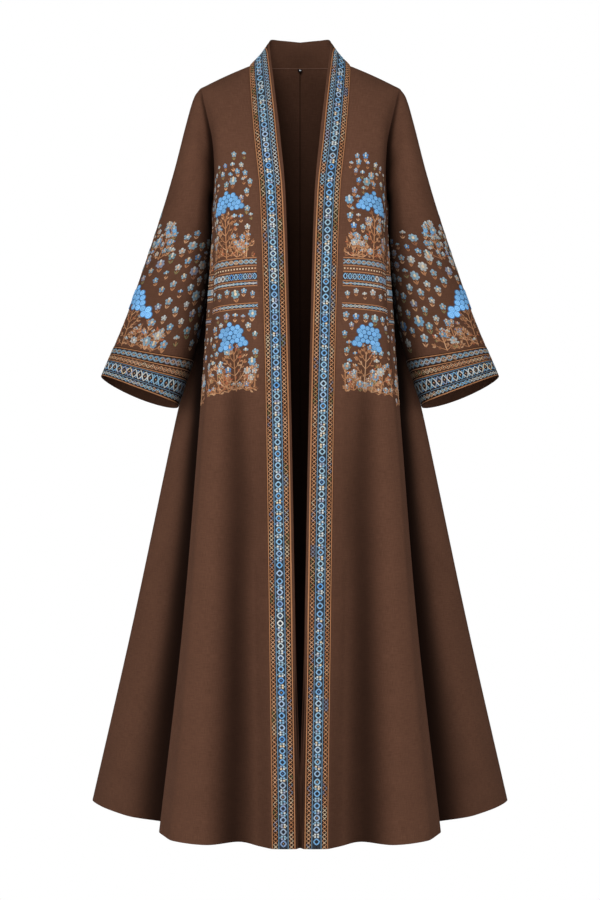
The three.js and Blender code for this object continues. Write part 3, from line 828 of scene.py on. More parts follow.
def thread_finish(name, effect, reads, values, **skin):
    """A finish with its colour and normal from an effect on the flat cloth; reads says which
    attribute of the piece, by which output, goes to which of the effect's sockets."""
    finish, tree, principled = new_finish(name, **skin)
    attribute, output, socket = reads
    place = node(tree, "ShaderNodeUVMap", uv_map="weave")
    read_out = node(tree, "ShaderNodeAttribute", attribute_name=attribute)
    made = node(tree, "ShaderNodeGroup", [], node_tree=effect)
    for label, value in values.items():
        made.inputs[label].default_value = value
    tree.links.new(place.outputs[0], made.inputs["Place"])
    tree.links.new(read_out.outputs[output], made.inputs[socket])
    tree.links.new(made.outputs["Colour"], principled.inputs["Base Color"])
    tree.links.new(made.outputs["Normal"], principled.inputs["Normal"])
    return finish


def woven_finish(name, colour, threads=1500.0, slub=0.58):
    """Matt woven cloth; the painted shade of its folds and its inside is a value on the piece."""
    values = {"Threads per m": threads, "Slub": slub, "Mottle": 0.3, "Colour": (*colour, 1),
              "Deep": (*PAINTED_SHADE_BROWN, 1)}
    return thread_finish(name, LINEN, ("fold", "Fac", "Fold"), values, Roughness=0.92,
                         Specular_IOR_Level=0.05, Sheen_Weight=0.01, Sheen_Roughness=0.6,
                         Sheen_Tint=(0.75, 0.6, 0.5, 1))


CLOTH_FINISH = woven_finish("brown linen", BROWN)
BAND_FINISH = woven_finish("brown band linen", BROWN * 0.93, slub=0.45)
# A painted shadow for the pressed seam inside the centre back.
SEAM_SHADOW_FINISH = woven_finish("seam shadow", BROWN * 0.5)
RIBBON_FINISH = woven_finish("ribbon ground", dye(54, 35, 27), 1900.0, 0.2)
FLOSS_FINISH = thread_finish("embroidery floss", FLOSS, ("dye", "Color", "Colour"), {},
                             Roughness=0.55, Specular_IOR_Level=0.35, Sheen_Weight=0.05)
DOT_FINISH = woven_finish("pale dot", dye(206, 210, 212), 2600.0, 0.1)
TAB_FINISH = woven_finish("black woven tab", dye(20, 21, 24), 2600.0, 0.1)


# ---- The cut pieces ----
# The fields of a flat cut: width, length and area, in metres and square metres.
Cut = namedtuple("Cut", "wide long area")


def as_sheet(piece, kind, side, parts=()):
    """The cloth in place of its solid, which it hides."""
    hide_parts(named(kind, side))
    return piece


def panel_shell(kind, cloth, side, rows, columns, past=0.0):
    """A panel from seam to seam, or a hair past its first edge."""
    across = spaced(columns) * (1 + past) - past
    grid = np.meshgrid(across, np.linspace(cloth.v[0], cloth.v[-1], rows))
    return shell(kind + "_cloth", cloth, side, CLOTH_FINISH, *grid)


def turns(count):
    """Even turns once round a sleeve."""
    return np.linspace(-0.5, 0.5, count + 1)[:-1]


def sleeve_shell(side, rows, columns):
    """The sleeve's tube from the armhole to its end."""
    u, share = np.meshgrid(turns(columns), 1 - spaced(rows, 0.3))
    return shell("sleeve_cloth", SLEEVE, side, CLOTH_FINISH, u, share * sleeve_length(u),
                 wrap=True)


BAND_ROWS_DOWN = np.linspace(BAND_START, LENGTH, 330)
MEET_FROM, MEET_OVER, MEET_WIDER = 1180.0, 200.0, 0.024  # the bare edges widen until they meet


def band_shell(side):
    """The band from just inside its seam; its bare edge widens evenly where the fronts meet."""
    u, v = np.meshgrid(spaced(17, 0.35) * 1.01 - 0.012, BAND_ROWS_DOWN)
    u = u * (1 + MEET_WIDER * np.clip((v - MEET_FROM) / MEET_OVER, 0, 1))
    return shell("band_cloth", BAND, side, BAND_FINISH, u, v, slot="band_cloth")


RIBBON_INSET = 0.015
RIBBON_LOW, RIBBON_HIGH = 0.75, 1.25  # the ribbon's ground lies between these lifts


def ribbon_shell(side):
    """The ribbon's ground, over its share of the band."""
    grid = np.meshgrid(np.linspace(RIBBON_INSET, RIBBON_SHARE, 13), BAND_ROWS_DOWN)
    return shell("ribbon_ground", BAND, side, RIBBON_FINISH, *grid, RIBBON_LOW, RIBBON_HIGH,
                 "embroidered_ribbon")


def cuff_shell(side, rows, columns):
    """The cuff band's ground, once round the sleeve's end."""
    grid = np.meshgrid(turns(columns), np.linspace(CUFF_DEEP, 0, rows))
    return shell("cuff_band_ground", SLEEVE, side, RIBBON_FINISH, *grid, RIBBON_LOW, RIBBON_HIGH,
                 "embroidered_ribbon", True)


# ---- Raised threads ----
SECTION = np.array([[-1, 0], [-0.6, 0.78], [0.6, 0.78], [1, 0]])  # half a thread, flat below
SURFACE = HALF_THICK - 0.12  # threads start just inside the cloth's face
ON_RIBBON = RIBBON_HIGH - 0.08  # or just inside the ribbon's
FLOSS_SHADE_HOLD, FLOSS_SHADE_CURVE = 0.9, 2.2  # how much of the cloth's painted shade the floss is painted with, and on what curve


class Needlework:
    """Threads gathered for one piece of embroidery on one cloth."""

    def __init__(self, cloth, low=SURFACE, bend=None):
        self.cloth, self.low, self.bend = cloth, low, bend
        self.points, self.faces, self.flat, self.dyes, self.count = [], [], [], [], 0
        self.inner, self.edge = -900.0, lambda y: 900.0  # how far across motifs may reach

    def holds(self, rows):
        """Which paths (x, y, turn, long, bow) start and end on the field."""
        far = rows[:, 0] + rows[:, 3] * np.sin(np.radians(rows[:, 2] + rows[:, 4] / 2))
        limit = self.edge(rows[:, 1])
        return (np.maximum(rows[:, 0], far) < limit) & (np.minimum(rows[:, 0], far) > self.inner)

    def _add(self, flat, lift, faces, places, dyes):
        a, b = flat[..., 0].ravel(), flat[..., 1].ravel()
        if self.bend:
            a, b = self.bend(a, b)
        # The floss is painted with the shade of the cloth under it.
        light = (1 - FLOSS_SHADE_HOLD * self.cloth.shade(a, b)) ** FLOSS_SHADE_CURVE
        self.points.append(self.cloth.lay(a, b, lift.ravel() + self.low))
        self.faces += [face + self.count for face in faces]
        self.flat += places
        self.dyes.append(dyes.reshape(-1, 3) * light[:, None])
        self.count += len(a)

    def take(self, other):
        """The threads of another piece of needlework, joined to these."""
        self.points += other.points
        self.dyes += other.dyes
        self.faces += [face + self.count for face in other.faces]
        self.flat += other.flat
        self.count += other.count

    def threads(self, path, half, rise, colour, closed=False):
        """A half-round section carried square to each path on the flat cloth.
        path is (threads, stations, 2); half width, rise and colour go with its stations."""
        path = np.asarray(path, float)
        many, stations = path.shape[:2]
        half, rise = (np.broadcast_to(x, (many, stations)) for x in (half, rise))
        colour = np.broadcast_to(colour, (many, stations, 3))
        if closed:
            run = np.roll(path, -1, 1) - np.roll(path, 1, 1)
        else:
            run = np.gradient(path, axis=1)
        run = run / np.maximum(np.linalg.norm(run, axis=2, keepdims=True), 1e-9)
        aside = np.stack([-run[..., 1], run[..., 0]], -1)
        ring = len(SECTION)
        reach = half[..., None] * SECTION[:, 0]
        flat = path[:, :, None] + aside[:, :, None] * reach[..., None]
        lift = rise[..., None] * SECTION[:, 1]
        n, j, i = np.mgrid[0:many, 0:stations if closed else stations - 1, 0:ring]
        corner = [(j, i), (j, i + 1), (j + 1, i + 1), (j + 1, i)]
        quads = np.stack([(n * stations + jj % stations) * ring + ii % ring
                          for jj, ii in corner], -1).reshape(-1, 4)
        step = np.linalg.norm(np.diff(path, axis=1, append=path[:, :1]), axis=2)
        gone = np.concatenate([np.zeros((many, 1)), np.cumsum(step, axis=1)], axis=1)
        place = [np.stack([gone[n, jj], ii * 0.6 + n * 7.3], -1) for jj, ii in corner]
        faces, places = [quads], [np.stack(place, 3).reshape(-1, 4, 2)]
        if not closed:
            first = np.arange(many)[:, None] * stations * ring
            for cap in (np.arange(ring), stations * ring - 1 - np.arange(ring)):
                faces.append(first + cap)
                places.append(np.zeros((many, ring, 2)))
        self._add(flat, lift, faces, places, np.repeat(colour[:, :, None], ring, axis=2))

    def buttons(self, place, radius, rise, rings, around=12):
        """Round domes: rings are (share of radius, share of rise, colour) from the middle out."""
        place = np.asarray(place, float)
        many = len(place)
        radius, rise = (np.broadcast_to(x, (many,)) for x in (radius, rise))
        angle = np.arange(around) / around * CIRCLE
        circle = np.stack([np.cos(angle), np.sin(angle)], -1)
        flat, lift, dyes = [], [], []
        for share, high, colour in [*rings, (0, 0, rings[0][2])]:
            spread = circle if share else np.zeros((1, 2))
            flat.append(place[:, None] + spread * (radius * share)[:, None, None])
            lift.append(np.repeat((rise * high)[:, None], len(spread), 1))
            dyes.append(np.repeat(np.broadcast_to(colour, (many, 3))[:, None], len(spread), 1))
        each = 2 + around * (len(rings) - 1)
        base = np.arange(many)[:, None, None] * each
        i = np.arange(around)
        after = (i + 1) % around
        last = 1 + around * (len(rings) - 2)
        top = np.stack([0 * i, 1 + i, 1 + after], -1)
        under = np.stack([0 * i + each - 1, last + after, last + i], -1)
        faces = [(base + np.concatenate([top, under])).reshape(-1, 3)]
        places = [np.zeros((len(faces[0]), 3, 2))]
        turn = np.stack([i, i, i + 1, i + 1], -1) * 0.5
        for k in range(len(rings) - 2):
            one, two = 1 + around * k + i, 1 + around * k + after
            quad = np.stack([one, one + around, two + around, two], -1)
            faces.append((base + quad).reshape(-1, 4))
            places.append(np.tile(np.stack([turn, np.full_like(turn, k)], -1), (many, 1, 1)))
        self._add(np.concatenate(flat, 1), np.concatenate(lift, 1), faces, places,
                  np.concatenate(dyes, 1))

    def finish(self, kind, side):
        """All the threads as one piece."""
        points = to_side(np.concatenate(self.points), side)
        return new_piece(named(kind, side), points, self.faces, FLOSS_FINISH, self.flat,
                         np.concatenate(self.dyes), keen=75.0)


# ---- Stitched motifs ----
# A stitch starts at (x, y) from the motif's middle, y towards the hem; turn is in degrees from
# straight up; kind names its dye.
Stitch = namedtuple("Stitch", "x y turn long wide rise bow kind")


def sprig(turns, petal_long, petal_wide, heart, stem):
    """Petals stand round a heart at the given turns, the first of them the palest; below them a
    bent stem carries two leaves in a V and a smaller one at its end."""
    made = []
    for k, turn in enumerate(turns):
        x, y = math.sin(math.radians(turn)), -math.cos(math.radians(turn))
        made.append(Stitch(x * heart * 0.8, y * heart * 0.8, turn, petal_long, petal_wide, 0.7,
                           0, "petal" if k else "cap"))
    made.append(Stitch(0, heart, 0, 2 * heart, heart * 0.95, 0.95, 0, "heart"))
    low = heart * 0.8 + petal_long * 0.7
    made.append(Stitch(0, low, 180, stem, 0.8, 0.45, 14, "stem"))
    for side in (-1, 1):
        made.append(Stitch(side * 0.2, low + stem * 0.98, side * 27, stem * 0.92, 1.15, 0.55,
                           side * 18, "leaf"))
    return made


SPRIGS = [  # a large, a cross and a bud sprig, and how much each is grown
    (sprig([0, 51, 103, 154, 206, 257, 309], 5.1, 2.35, 2.4, 7.6), 1.18),
    (sprig([0, 72, 140, 220, 288], 4.2, 2.3, 1.9, 7.2), 1.02),
    (sprig([0, 62, 298], 4.5, 2.3, 1.5, 7.4), 0.98),
]
STATIONS = 5  # places along a stitch
UNEVEN = 0.06  # by how much of its size one stitch differs from the next
SWELL = {kind: np.array(widths) for kind, widths in {
    "petal": [0.4, 0.86, 1.0, 0.92, 0.45], "cap": [0.4, 0.82, 1.0, 0.86, 0.35],
    "heart": [0.45, 0.93, 1.0, 0.93, 0.45], "leaf": [0.3, 0.85, 1.0, 0.72, 0.18],
    "stem": [1.0, 0.95, 0.9, 0.85, 0.7]}.items()}


def runs(x, y, turn, long, bow):
    """Paths that leave (x, y) at an angle and bend evenly by bow degrees over their length."""
    t = (np.arange(STATIONS - 1) + 0.5) / (STATIONS - 1)
    heading = np.radians(turn)[:, None] + np.radians(bow)[:, None] * t
    step = (long / (STATIONS - 1))[:, None]
    dx = np.cumsum(np.sin(heading) * step, axis=1)
    dy = np.cumsum(-np.cos(heading) * step, axis=1)
    nought = np.zeros((len(x), 1))
    start = np.stack([x, y], -1)[:, None]
    return start + np.stack([np.concatenate([nought, d], 1) for d in (dx, dy)], -1)


def turned(x, y, degrees):
    """Places turned about the middle of their motif."""
    c, d = np.cos(np.radians(degrees)), np.sin(np.radians(degrees))
    return np.stack([x * c - y * d, x * d + y * c], -1)


def work_motif(work, motif, place, size, lean, dyes, rng):
    """A motif stitched at many places: every stitch is turned, scaled and moved with its place.
    dyes gives each kind of stitch a colour for every place."""
    many = len(place)
    for s in motif:
        size_now = size * (1 + rng.uniform(-UNEVEN, UNEVEN, many))
        start = place + size[:, None] * turned(s.x, s.y, lean)
        turn = s.turn + lean + rng.uniform(-7, 7, many)
        path = runs(*start.T, turn, s.long * size_now, np.full(many, float(s.bow)))
        half = (s.wide * size_now)[:, None] * SWELL[s.kind]
        rise = s.rise * SWELL[s.kind] * np.minimum(size, 1.1)[:, None]
        colour = dyes[s.kind][:, None] * (1 + rng.uniform(-0.09, 0.09, (many, 1, 1)))
        if s.kind in ("petal", "cap"):
            colour = colour * np.linspace(0.82, 1.1, STATIONS)[:, None]
        work.threads(path, half, rise, colour)


def mix_of(*mixed):
    """A maker of thread colours, from pairs of a colour and its share."""
    colours, shares = (np.array(each) for each in zip(*mixed))
    return lambda rng, many: colours[rng.choice(len(colours), many, p=shares / shares.sum())]


# Petals are pale and sky blue, the top one whiter; hearts cream or peach; leaves copper.
SPRIG_DYES = {
    "petal": mix_of((ICE * 0.78, 5), (SKY_PALE * 0.72, 3), (SKY * 0.8, 1.1),
                    (LAVENDER * 0.75, 1.6), (AQUA * 0.72, 1.2), (WHITE * 0.66, 2.9)),
    "cap": mix_of((WHITE, 4), (ICE, 3), (CREAM, 1.5), (SKY_PALE, 1), (PEACH, 0.6)),
    "heart": mix_of((CREAM, 4), (PEACH, 3), (WHITE, 1)),
    "leaf": mix_of((COPPER, 4), (COPPER_PALE, 4), (COPPER_DEEP, 1), (OLIVE, 2)),
    "stem": mix_of((COPPER, 3), (COPPER_DEEP, 2)),
}
BRANCH = mix_of((COPPER, 3), (COPPER_PALE, 1))
LEAFAGE = mix_of((COPPER, 6), (COPPER_PALE, 2.4), (COPPER_DEEP, 4), (RUST, 1.6), (PEACH, 0.6))
UNDERGROWTH = mix_of((COPPER, 5), (COPPER_DEEP, 4), (RUST, 2), (COPPER_PALE, 2.4),
                     (PEACH * 0.8, 1), (CREAM * 0.7, 0.6))
BLOOM = mix_of((SKY, 4), (SKY * 0.84, 2), (SKY * 1.14, 2))
COOL = mix_of((ICE, 4), (WHITE, 4), (LAVENDER, 1.6), (SKY_PALE, 3), (SKY, 2))
FROST = mix_of((ICE, 4), (WHITE * 0.85, 3), (SKY_PALE, 2), (PEACH * 0.8, 1), (LAVENDER, 1))
DUSK = mix_of((ICE * 0.72, 4), (SKY_PALE * 0.6, 2), (LAVENDER * 0.7, 2), (COPPER_PALE * 0.8, 1.4))
WARM = mix_of((COPPER, 5), (COPPER_PALE, 5), (PEACH * 0.9, 1.6), (CREAM * 0.8, 1.6), (OLIVE, 1.0),
              (LAVENDER * 0.7, 0.7))
PALE = mix_of((CREAM, 4), (WHITE * 0.9, 3), (ICE, 2), (COPPER_PALE, 2))
CROSSED = mix_of((WHITE, 4), (ICE, 4), (SKY_PALE, 2), (CREAM, 2), (LAVENDER, 2))
JEWEL = mix_of((ICE, 4), (WHITE, 4.5), (SKY_PALE, 3), (LAVENDER, 1.5), (SKY, 0.6))
JEWEL_EYE = mix_of((PEACH, 2), (SKY, 2), (NAVY * 2, 3))
RING = mix_of((SKY_PALE, 4), (SKY, 3), (ICE, 4), (WHITE, 2), (LAVENDER, 1.4))
RING_EYE = mix_of((NAVY * 2, 5), (PEACH * 0.5, 1.5), (SKY_DEEP, 2))
CREAM_DOT = mix_of((CREAM, 3), (PEACH, 1))
BLUE_DOT = mix_of((SKY, 2), (SKY_PALE, 1))


def sow(work, places, rng, lean=0.0, size=1.0, shares=(0.16, 0.5, 0.34)):
    """Large, cross and bud sprigs at the given places, mixed by their shares, slightly turned."""
    places = np.asarray(places, float)
    kind = rng.choice(3, len(places), p=shares)
    for number, (motif, grown) in enumerate(SPRIGS):
        here = places[kind == number]
        if len(here):
            many = len(here)
            work_motif(work, motif, here, size * grown * rng.uniform(0.8, 1.1, many),
                       lean + rng.uniform(-10, 10, many),
                       {part: mix(rng, many) for part, mix in SPRIG_DYES.items()}, rng)


def branch_path(x, y, turn, long, bow, count):
    """Places at even steps along one bent branch, with the heading at each."""
    t = np.linspace(0, 1, count)
    heading = np.radians(turn + bow * t)
    step = long / (count - 1)
    px = x + np.concatenate([[0], np.cumsum(np.sin(heading[:-1]) * step)])
    py = y - np.concatenate([[0], np.cumsum(np.cos(heading[:-1]) * step)])
    return px, py, np.degrees(heading)


STEM_STEPS = 8


def plant(work, foot, turn, height, reach, pairs, rng, leaf=8.2, tips_flower=0.5, step=7.4,
          flower=0.84):
    """A stem with pairs of bent branches, leaves on both sides of each and a sprig at some tips.
    Branches shorten and rise towards the top."""
    stems, leaves, tips = [], [], []
    px, py, head = branch_path(*foot, turn, height, -turn, STEM_STEPS + 1)
    stems.append((foot[0], foot[1], turn, height, -turn, 1.15))
    for k in range(pairs):
        t = 0.04 + 0.88 * k / max(pairs - 1, 1)
        at = t * STEM_STEPS
        low, high = int(at), min(int(at) + 1, STEM_STEPS)
        x = px[low] + (px[high] - px[low]) * (at - low)
        y = py[low] + (py[high] - py[low]) * (at - low)
        for side in (-1, 1):
            long = reach * (1 - 0.66 * t) * rng.uniform(0.84, 1.1)
            heading = head[low] + side * (72 - 36 * t) * rng.uniform(0.85, 1.1)
            bow = -side * rng.uniform(16, 44)
            count = max(3, int(long / step) + 1)
            bx, by, turns = branch_path(x, y, heading, long, bow, count)
            stems.append((x, y, heading, long, bow, 0.8))
            tips.append((bx[-1], by[-1]))
            for i in range(1, count):
                for flank in (-1, 1):
                    leaves.append((bx[i], by[i], turns[i] + flank * rng.uniform(34, 60),
                                   leaf * rng.uniform(0.72, 1.12) * (1 - 0.3 * i / count),
                                   -flank * rng.uniform(10, 40)))
            leaves.append((bx[-1], by[-1], turns[-1], leaf, 0))
    stems, leaves, tips = np.array(stems), np.array(leaves), np.array(tips)
    stems, leaves = stems[work.holds(stems)], leaves[work.holds(leaves)]
    tips = tips[(tips[:, 0] < work.edge(tips[:, 1]) - 3) & (tips[:, 0] > work.inner + 4)]
    work.threads(runs(*stems[:, :5].T), stems[:, 5:] * SWELL["stem"], 0.5,
                 BRANCH(rng, len(stems))[:, None])
    many = len(leaves)
    colour = LEAFAGE(rng, many)
    shade = np.linspace(0.7, 1.0, STATIONS)[:, None]
    wide = 0.23 * leaves[:, 3:4] * rng.uniform(0.85, 1.15, (many, 1))
    work.threads(runs(*leaves.T), wide * SWELL["leaf"], 0.6 * SWELL["leaf"],
                 colour[:, None] * shade)
    chosen = tips[rng.uniform(0, 1, len(tips)) < tips_flower]
    if len(chosen):
        sow(work, chosen + [0, -2.0], rng, size=flower, shares=(0.1, 0.35, 0.55))


THICKET_ROW, THICKET_PITCH = 4.6, 5.2


def thicket(work, left, right, foot, high, rng):
    """Low leaves on short stalks in close rows, thinning out with the height: each row leans
    the other way, and the place of a leaf is shaken by half its distance to the next."""
    leaves = []
    for row, up in enumerate(np.arange(1.5, high, THICKET_ROW)):
        for x in np.arange(left, right, THICKET_PITCH):
            if rng.uniform() < 0.86 - 0.8 * up / high:
                lean = (32 if row % 2 else -32) + rng.uniform(-24, 24)
                leaves.append((x + rng.uniform(-2.4, 2.4), foot - up + rng.uniform(-2, 2), lean,
                               rng.uniform(5.0, 8.4), rng.uniform(-30, 30)))
    leaves = np.array(leaves)
    leaves = leaves[work.holds(leaves)]
    many = len(leaves)
    colour = UNDERGROWTH(rng, many) * 0.86
    work.threads(runs(*leaves.T), rng.uniform(0.9, 1.35, (many, 1)) * SWELL["leaf"],
                 0.5 * SWELL["leaf"], colour[:, None])


DOME_LEAN = 9.0


def dome(work, rng, middle, wide, high, radius, flare, fill=0.84, bright=1.0):
    """An umbrella of round rosettes in close rows: its outline widens as a power of the drop, its
    lower edge arches up in the middle, and the rosettes grow towards both ends."""
    half, rise = wide / 2 - radius, high - 2 * radius
    y = np.arange(0, rise + 0.1, radius * 1.46)
    i = np.arange(-8, 9)
    x = (i[None] + 0.5 * (np.arange(len(y))[:, None] % 2)) * radius * 1.7
    y = np.broadcast_to(y[:, None], x.shape)
    outline = half * (y / rise) ** flare + radius * 0.9
    lower = rise * (fill + (1.04 - fill) * (np.abs(x) / half) ** 1.4)
    kept = (np.abs(x) <= outline) & (y <= lower)
    spots = np.stack([x[kept], y[kept] - rise / 2], -1)
    spots = spots + rng.uniform(-0.4, 0.4, spots.shape)
    many = len(spots)
    sizes = radius * (0.94 + 0.2 * np.abs(spots[:, 0]) / half) * rng.uniform(0.96, 1.06, many)
    # bright lightens the rosettes: on the sleeve for their paler thread, and as painted light
    # against the painted shade there.
    tone = bright * BLOOM(rng, many)
    pale = tone * 0.5 + bright * SKY_PALE * rng.uniform(0.66, 1.05, (many, 1))
    rings = [(0, 0.8, tone * 0.7), (0.2, 0.92, pale), (0.36, 0.8, tone * 0.72),
             (0.54, 1.0, pale), (0.72, 0.92, tone * 0.9), (0.84, 0.7, tone * 0.55),
             (1.0, 0.0, SKY_DEEP * 0.2)]
    work.buttons(middle + turned(*spots.T, DOME_LEAN), sizes,
                 1.5 * rng.uniform(0.75, 1.25, many), rings, around=16)


# ---- Borders: rows of chain, lozenge, dots and line along a strip ----
# In a strip, s runs along it and t across it, both in millimetres.
def even(length, pitch):
    """The middles of equal steps along a strip, each close to the pitch."""
    count = max(2, round(length / pitch))
    return (np.arange(count) + 0.5) * length / count


def at_height(s, t):
    """Places along a strip, at a height across it."""
    return np.stack(np.broadcast_arrays(s, t), -1)


LINE_STEP = 7.0


def line_row(work, length, t, wide, colour, rise=0.5):
    """One thread straight along a strip."""
    s = np.linspace(0, length, int(length / LINE_STEP) + 2)
    work.threads(at_height(s, t)[None], wide / 2, rise, colour)


def ground_row(work, length, t, wide, colour):
    """A satin ground, laid as strips side by side so that it follows the cloth."""
    strips = max(2, int(wide / 6))
    for k in range(strips):
        line_row(work, length, t - wide / 2 + wide * (k + 0.5) / strips, wide / strips * 1.02,
                 colour, 0.22)


def lattice_row(work, length, t, high, pitch, colours, rng, thread, knot=None, fine=2):
    """Two strands that cross into a row of diamonds: cosine waves half a turn apart, drawn with
    "fine" steps to a diamond, every other step darker as in a twisted strand."""
    count = max(2, round(length / pitch))
    turns = np.arange(fine * count + 1)
    for phase in (0, 1):
        wave = np.cos((turns / fine + phase) * np.pi) * (high / 2 - thread / 2)
        run = np.repeat(colours(rng, count // 3 + 2), 3 * fine, axis=0)[:fine * count + 1]
        run = run * np.where((turns // (fine // 2)) % 2, 1.0, 0.84)[:, None]
        half = thread / 2 * np.where(turns % fine, 1.0, 0.82)
        work.threads(at_height(turns * length / (fine * count), t + wave)[None], half,
                     0.5 + 0.12 * phase, run[None])
    if knot is not None:
        radius, colour = knot
        work.buttons(at_height(np.arange(1, count) * length / count, t), radius, 0.5,
                     [(0, 1, colour), (0.6, 0.85, colour), (1, 0, colour * 0.7)], around=6)


RING_ROUND, RING_STATIONS = 1.35, 12  # 1 is a diamond, 2 an ellipse


def ring_row(work, spots, t, high, wide, colours, thread):
    """Diamond-round rings: a closed thread on a superellipse at each spot."""
    angle = np.linspace(0, CIRCLE, RING_STATIONS, endpoint=False)
    rx, ry = (np.sign(c) * np.abs(c) ** (2 / RING_ROUND) * (across - thread) / 2
              for c, across in ((np.cos(angle), wide), (np.sin(angle), high)))
    work.threads(at_height(spots[:, None] + rx, t + ry), thread / 2, 0.62, colours[:, None],
                 closed=True)


def dot_row(work, s, t, colours, radius, rise=0.6):
    """Low domes of two rings along a strip."""
    work.buttons(at_height(s, t), radius, rise, [(0, 1, colours), (0.6, 0.86, colours),
                                                 (1, 0, colours * 0.6)], around=7)


def fading(rng, many):
    """Cool for the first quarter of the way, then warm."""
    return np.concatenate([FROST(rng, many // 4), WARM(rng, many - many // 4)])


def jewel_row(work, length, t, high, pitch, rng):
    """Diamond-round rings with small dots above and below each gap, on a navy ground."""
    ground_row(work, length, t, high + 1.2, NAVY)
    spots = even(length, pitch)
    count = len(spots)
    ring_row(work, spots, t, high, pitch * 0.98, JEWEL(rng, count), 1.9)
    dot_row(work, spots, t, JEWEL_EYE(rng, count), 1.1)
    gaps = np.arange(1, count) * length / count
    for side in (-1, 1):
        dot_row(work, gaps, t + side * high * 0.36, COOL(rng, count - 1), 1.1)


# ---- Where the embroidery lies ----
TRIM_WIDE = 49.0  # the band, across
TRIM_END = 1.0  # what its two ends leave bare
# Rows are (kind, t, high, pitch).  Across the ribbon, t runs from its seam to the bare edge.
TRIM_ROWS = [
    ("copper line", 1.9, 1.7, 0), ("warm lattice", 7.6, 9.2, 7.0), ("teal line", 13.3, 1.5, 0),
    ("rings", 21.4, 12.4, 20.4), ("teal line", 29.6, 1.5, 0), ("fading lattice", 35.3, 9.2, 7.0),
    ("copper line", 41.4, 2.0, 0),
]
TRIM_LINES = {"copper line": (COPPER * 0.95, 0.6), "teal line": (SKY_PALE * 0.62, 0.5)}


def trim_work(side, seed):
    """The ribbon's embroidery from the centre back over the shoulder and down to the hem."""
    rng = np.random.default_rng(seed)
    length = float(BAND.b[-1]) - TRIM_END
    work = Needlework(BAND, ON_RIBBON, bend=lambda s, t: (t, s + TRIM_END / 2))
    for kind, t, high, pitch in TRIM_ROWS:
        if kind in TRIM_LINES:
            line_row(work, length, t, high, *TRIM_LINES[kind])
        elif kind == "rings":
            ring_trim(work, length, t, high, pitch, rng)
        else:
            strands = WARM if kind == "warm lattice" else fading
            lattice_row(work, length, t, high, pitch, strands, rng, 1.6)
    return work.finish("ribbon_embroidery", side)


def ring_trim(work, length, t, high, pitch, rng):
    """Rings with four dots between; now and then two rings stand close, without dots."""
    ground_row(work, length, t, high + 2.6, SLATE)
    close = rng.uniform(0, 1, 200) < 0.28
    steps = np.where(close, 0.68, 1.0) * pitch * rng.uniform(0.96, 1.04, 200)
    spots = np.cumsum(steps) - 0.62 * pitch
    count = int((spots < length - high * 0.6).sum())
    spots, steps, close = spots[:count], steps[:count], close[:count]
    tone = np.repeat(RING(rng, count // 5 + 2), 5, axis=0)[:count]
    ring_row(work, spots, t, high, 12.6, tone * 0.6 + RING(rng, count) * 0.45, 2.7)
    dot_row(work, spots, t, RING_EYE(rng, count), 1.5, 0.4)
    middle = (spots - steps / 2)[~close]
    many = len(middle)
    for ds in (-2.1, 2.1):
        for dt in (-2.6, 2.6):
            dot_row(work, middle + ds, t + dt, CROSSED(rng, many), 2.35)
    for dt in (-5.9, 5.9):
        dot_row(work, middle, t + dt, COOL(rng, many) * 0.9, 1.5)


CUFF_ROWS = [  # t is the way up from the cuff's end
    ("copper line", 1.7, 1.8, 0), ("chain", 7.0, 7.6, 7.6), ("teal line", 12.0, 1.3, 0),
    ("crosses", 21.2, 16.4, 10.2), ("teal line", 30.4, 1.3, 0), ("copper line", 32.6, 1.5, 0),
    ("copper chain", 38.4, 8.6, 7.8), ("copper line", 44.2, 1.5, 0), ("waves", 51.2, 10.6, 10.4),
    ("copper line", 58.2, 1.6, 0),
]
LINES = {"copper line": COPPER, "teal line": SKY_PALE * 0.5}
LATTICES = {  # ground, strands, thread, the knots' radius and colour, steps to a diamond
    "chain": (NAVY, FROST, 1.8, (1.1, CREAM), 2),
    "copper chain": (COPPER_DEEP * 0.4, WARM, 1.8, (1.1, CREAM * 0.8), 2),
    "waves": (NAVY * 0.5 + COPPER_DEEP * 0.15, DUSK, 2.5, (1.5, PEACH * 0.8), 4),
    "crosses": (NAVY, CROSSED, 2.5, (1.2, PEACH * 0.9), 3),
}


def border_rows(work, length, rows, rng):
    """A border's rows, each by its kind."""
    for kind, t, high, pitch in rows:
        if kind in LINES:
            line_row(work, length, t, high, LINES[kind])
        elif kind == "jewels":
            jewel_row(work, length, t, high, pitch, rng)
        elif kind == "dots":
            ground_row(work, length, t, high, COPPER_DEEP * 0.6)
            spots = even(length, pitch)
            dot_row(work, spots, t, CREAM_DOT(rng, len(spots)), 1.7)
        else:
            ground, strands, thread, knot, fine = LATTICES[kind]
            ground_row(work, length, t, high, ground)
            lattice_row(work, length, t, high, pitch, strands, rng, thread, knot, fine)
        if kind == "waves":
            lattice_row(work, length, t, high * 0.5, pitch, PALE, rng, 1.0, fine=4)
        elif kind == "crosses":
            spots = even(length, pitch)
            for way in (-1, 1):
                dot_row(work, spots, t + way * high * 0.34, BLUE_DOT(rng, len(spots)), 1.4)


def cuff_work(side, seed):
    """The cuff's border, once round the sleeve's end."""
    round_end = float(SLEEVE.a[-1, -1] - SLEEVE.a[-1, 0])

    def bend(s, t):
        left, right = SLEEVE.edge(t, 0), SLEEVE.edge(t)
        return left + s / round_end * (right - left), -t

    work = Needlework(SLEEVE, ON_RIBBON, bend=bend)
    border_rows(work, round_end, CUFF_ROWS, np.random.default_rng(seed))
    return work.finish("cuff_embroidery", side)


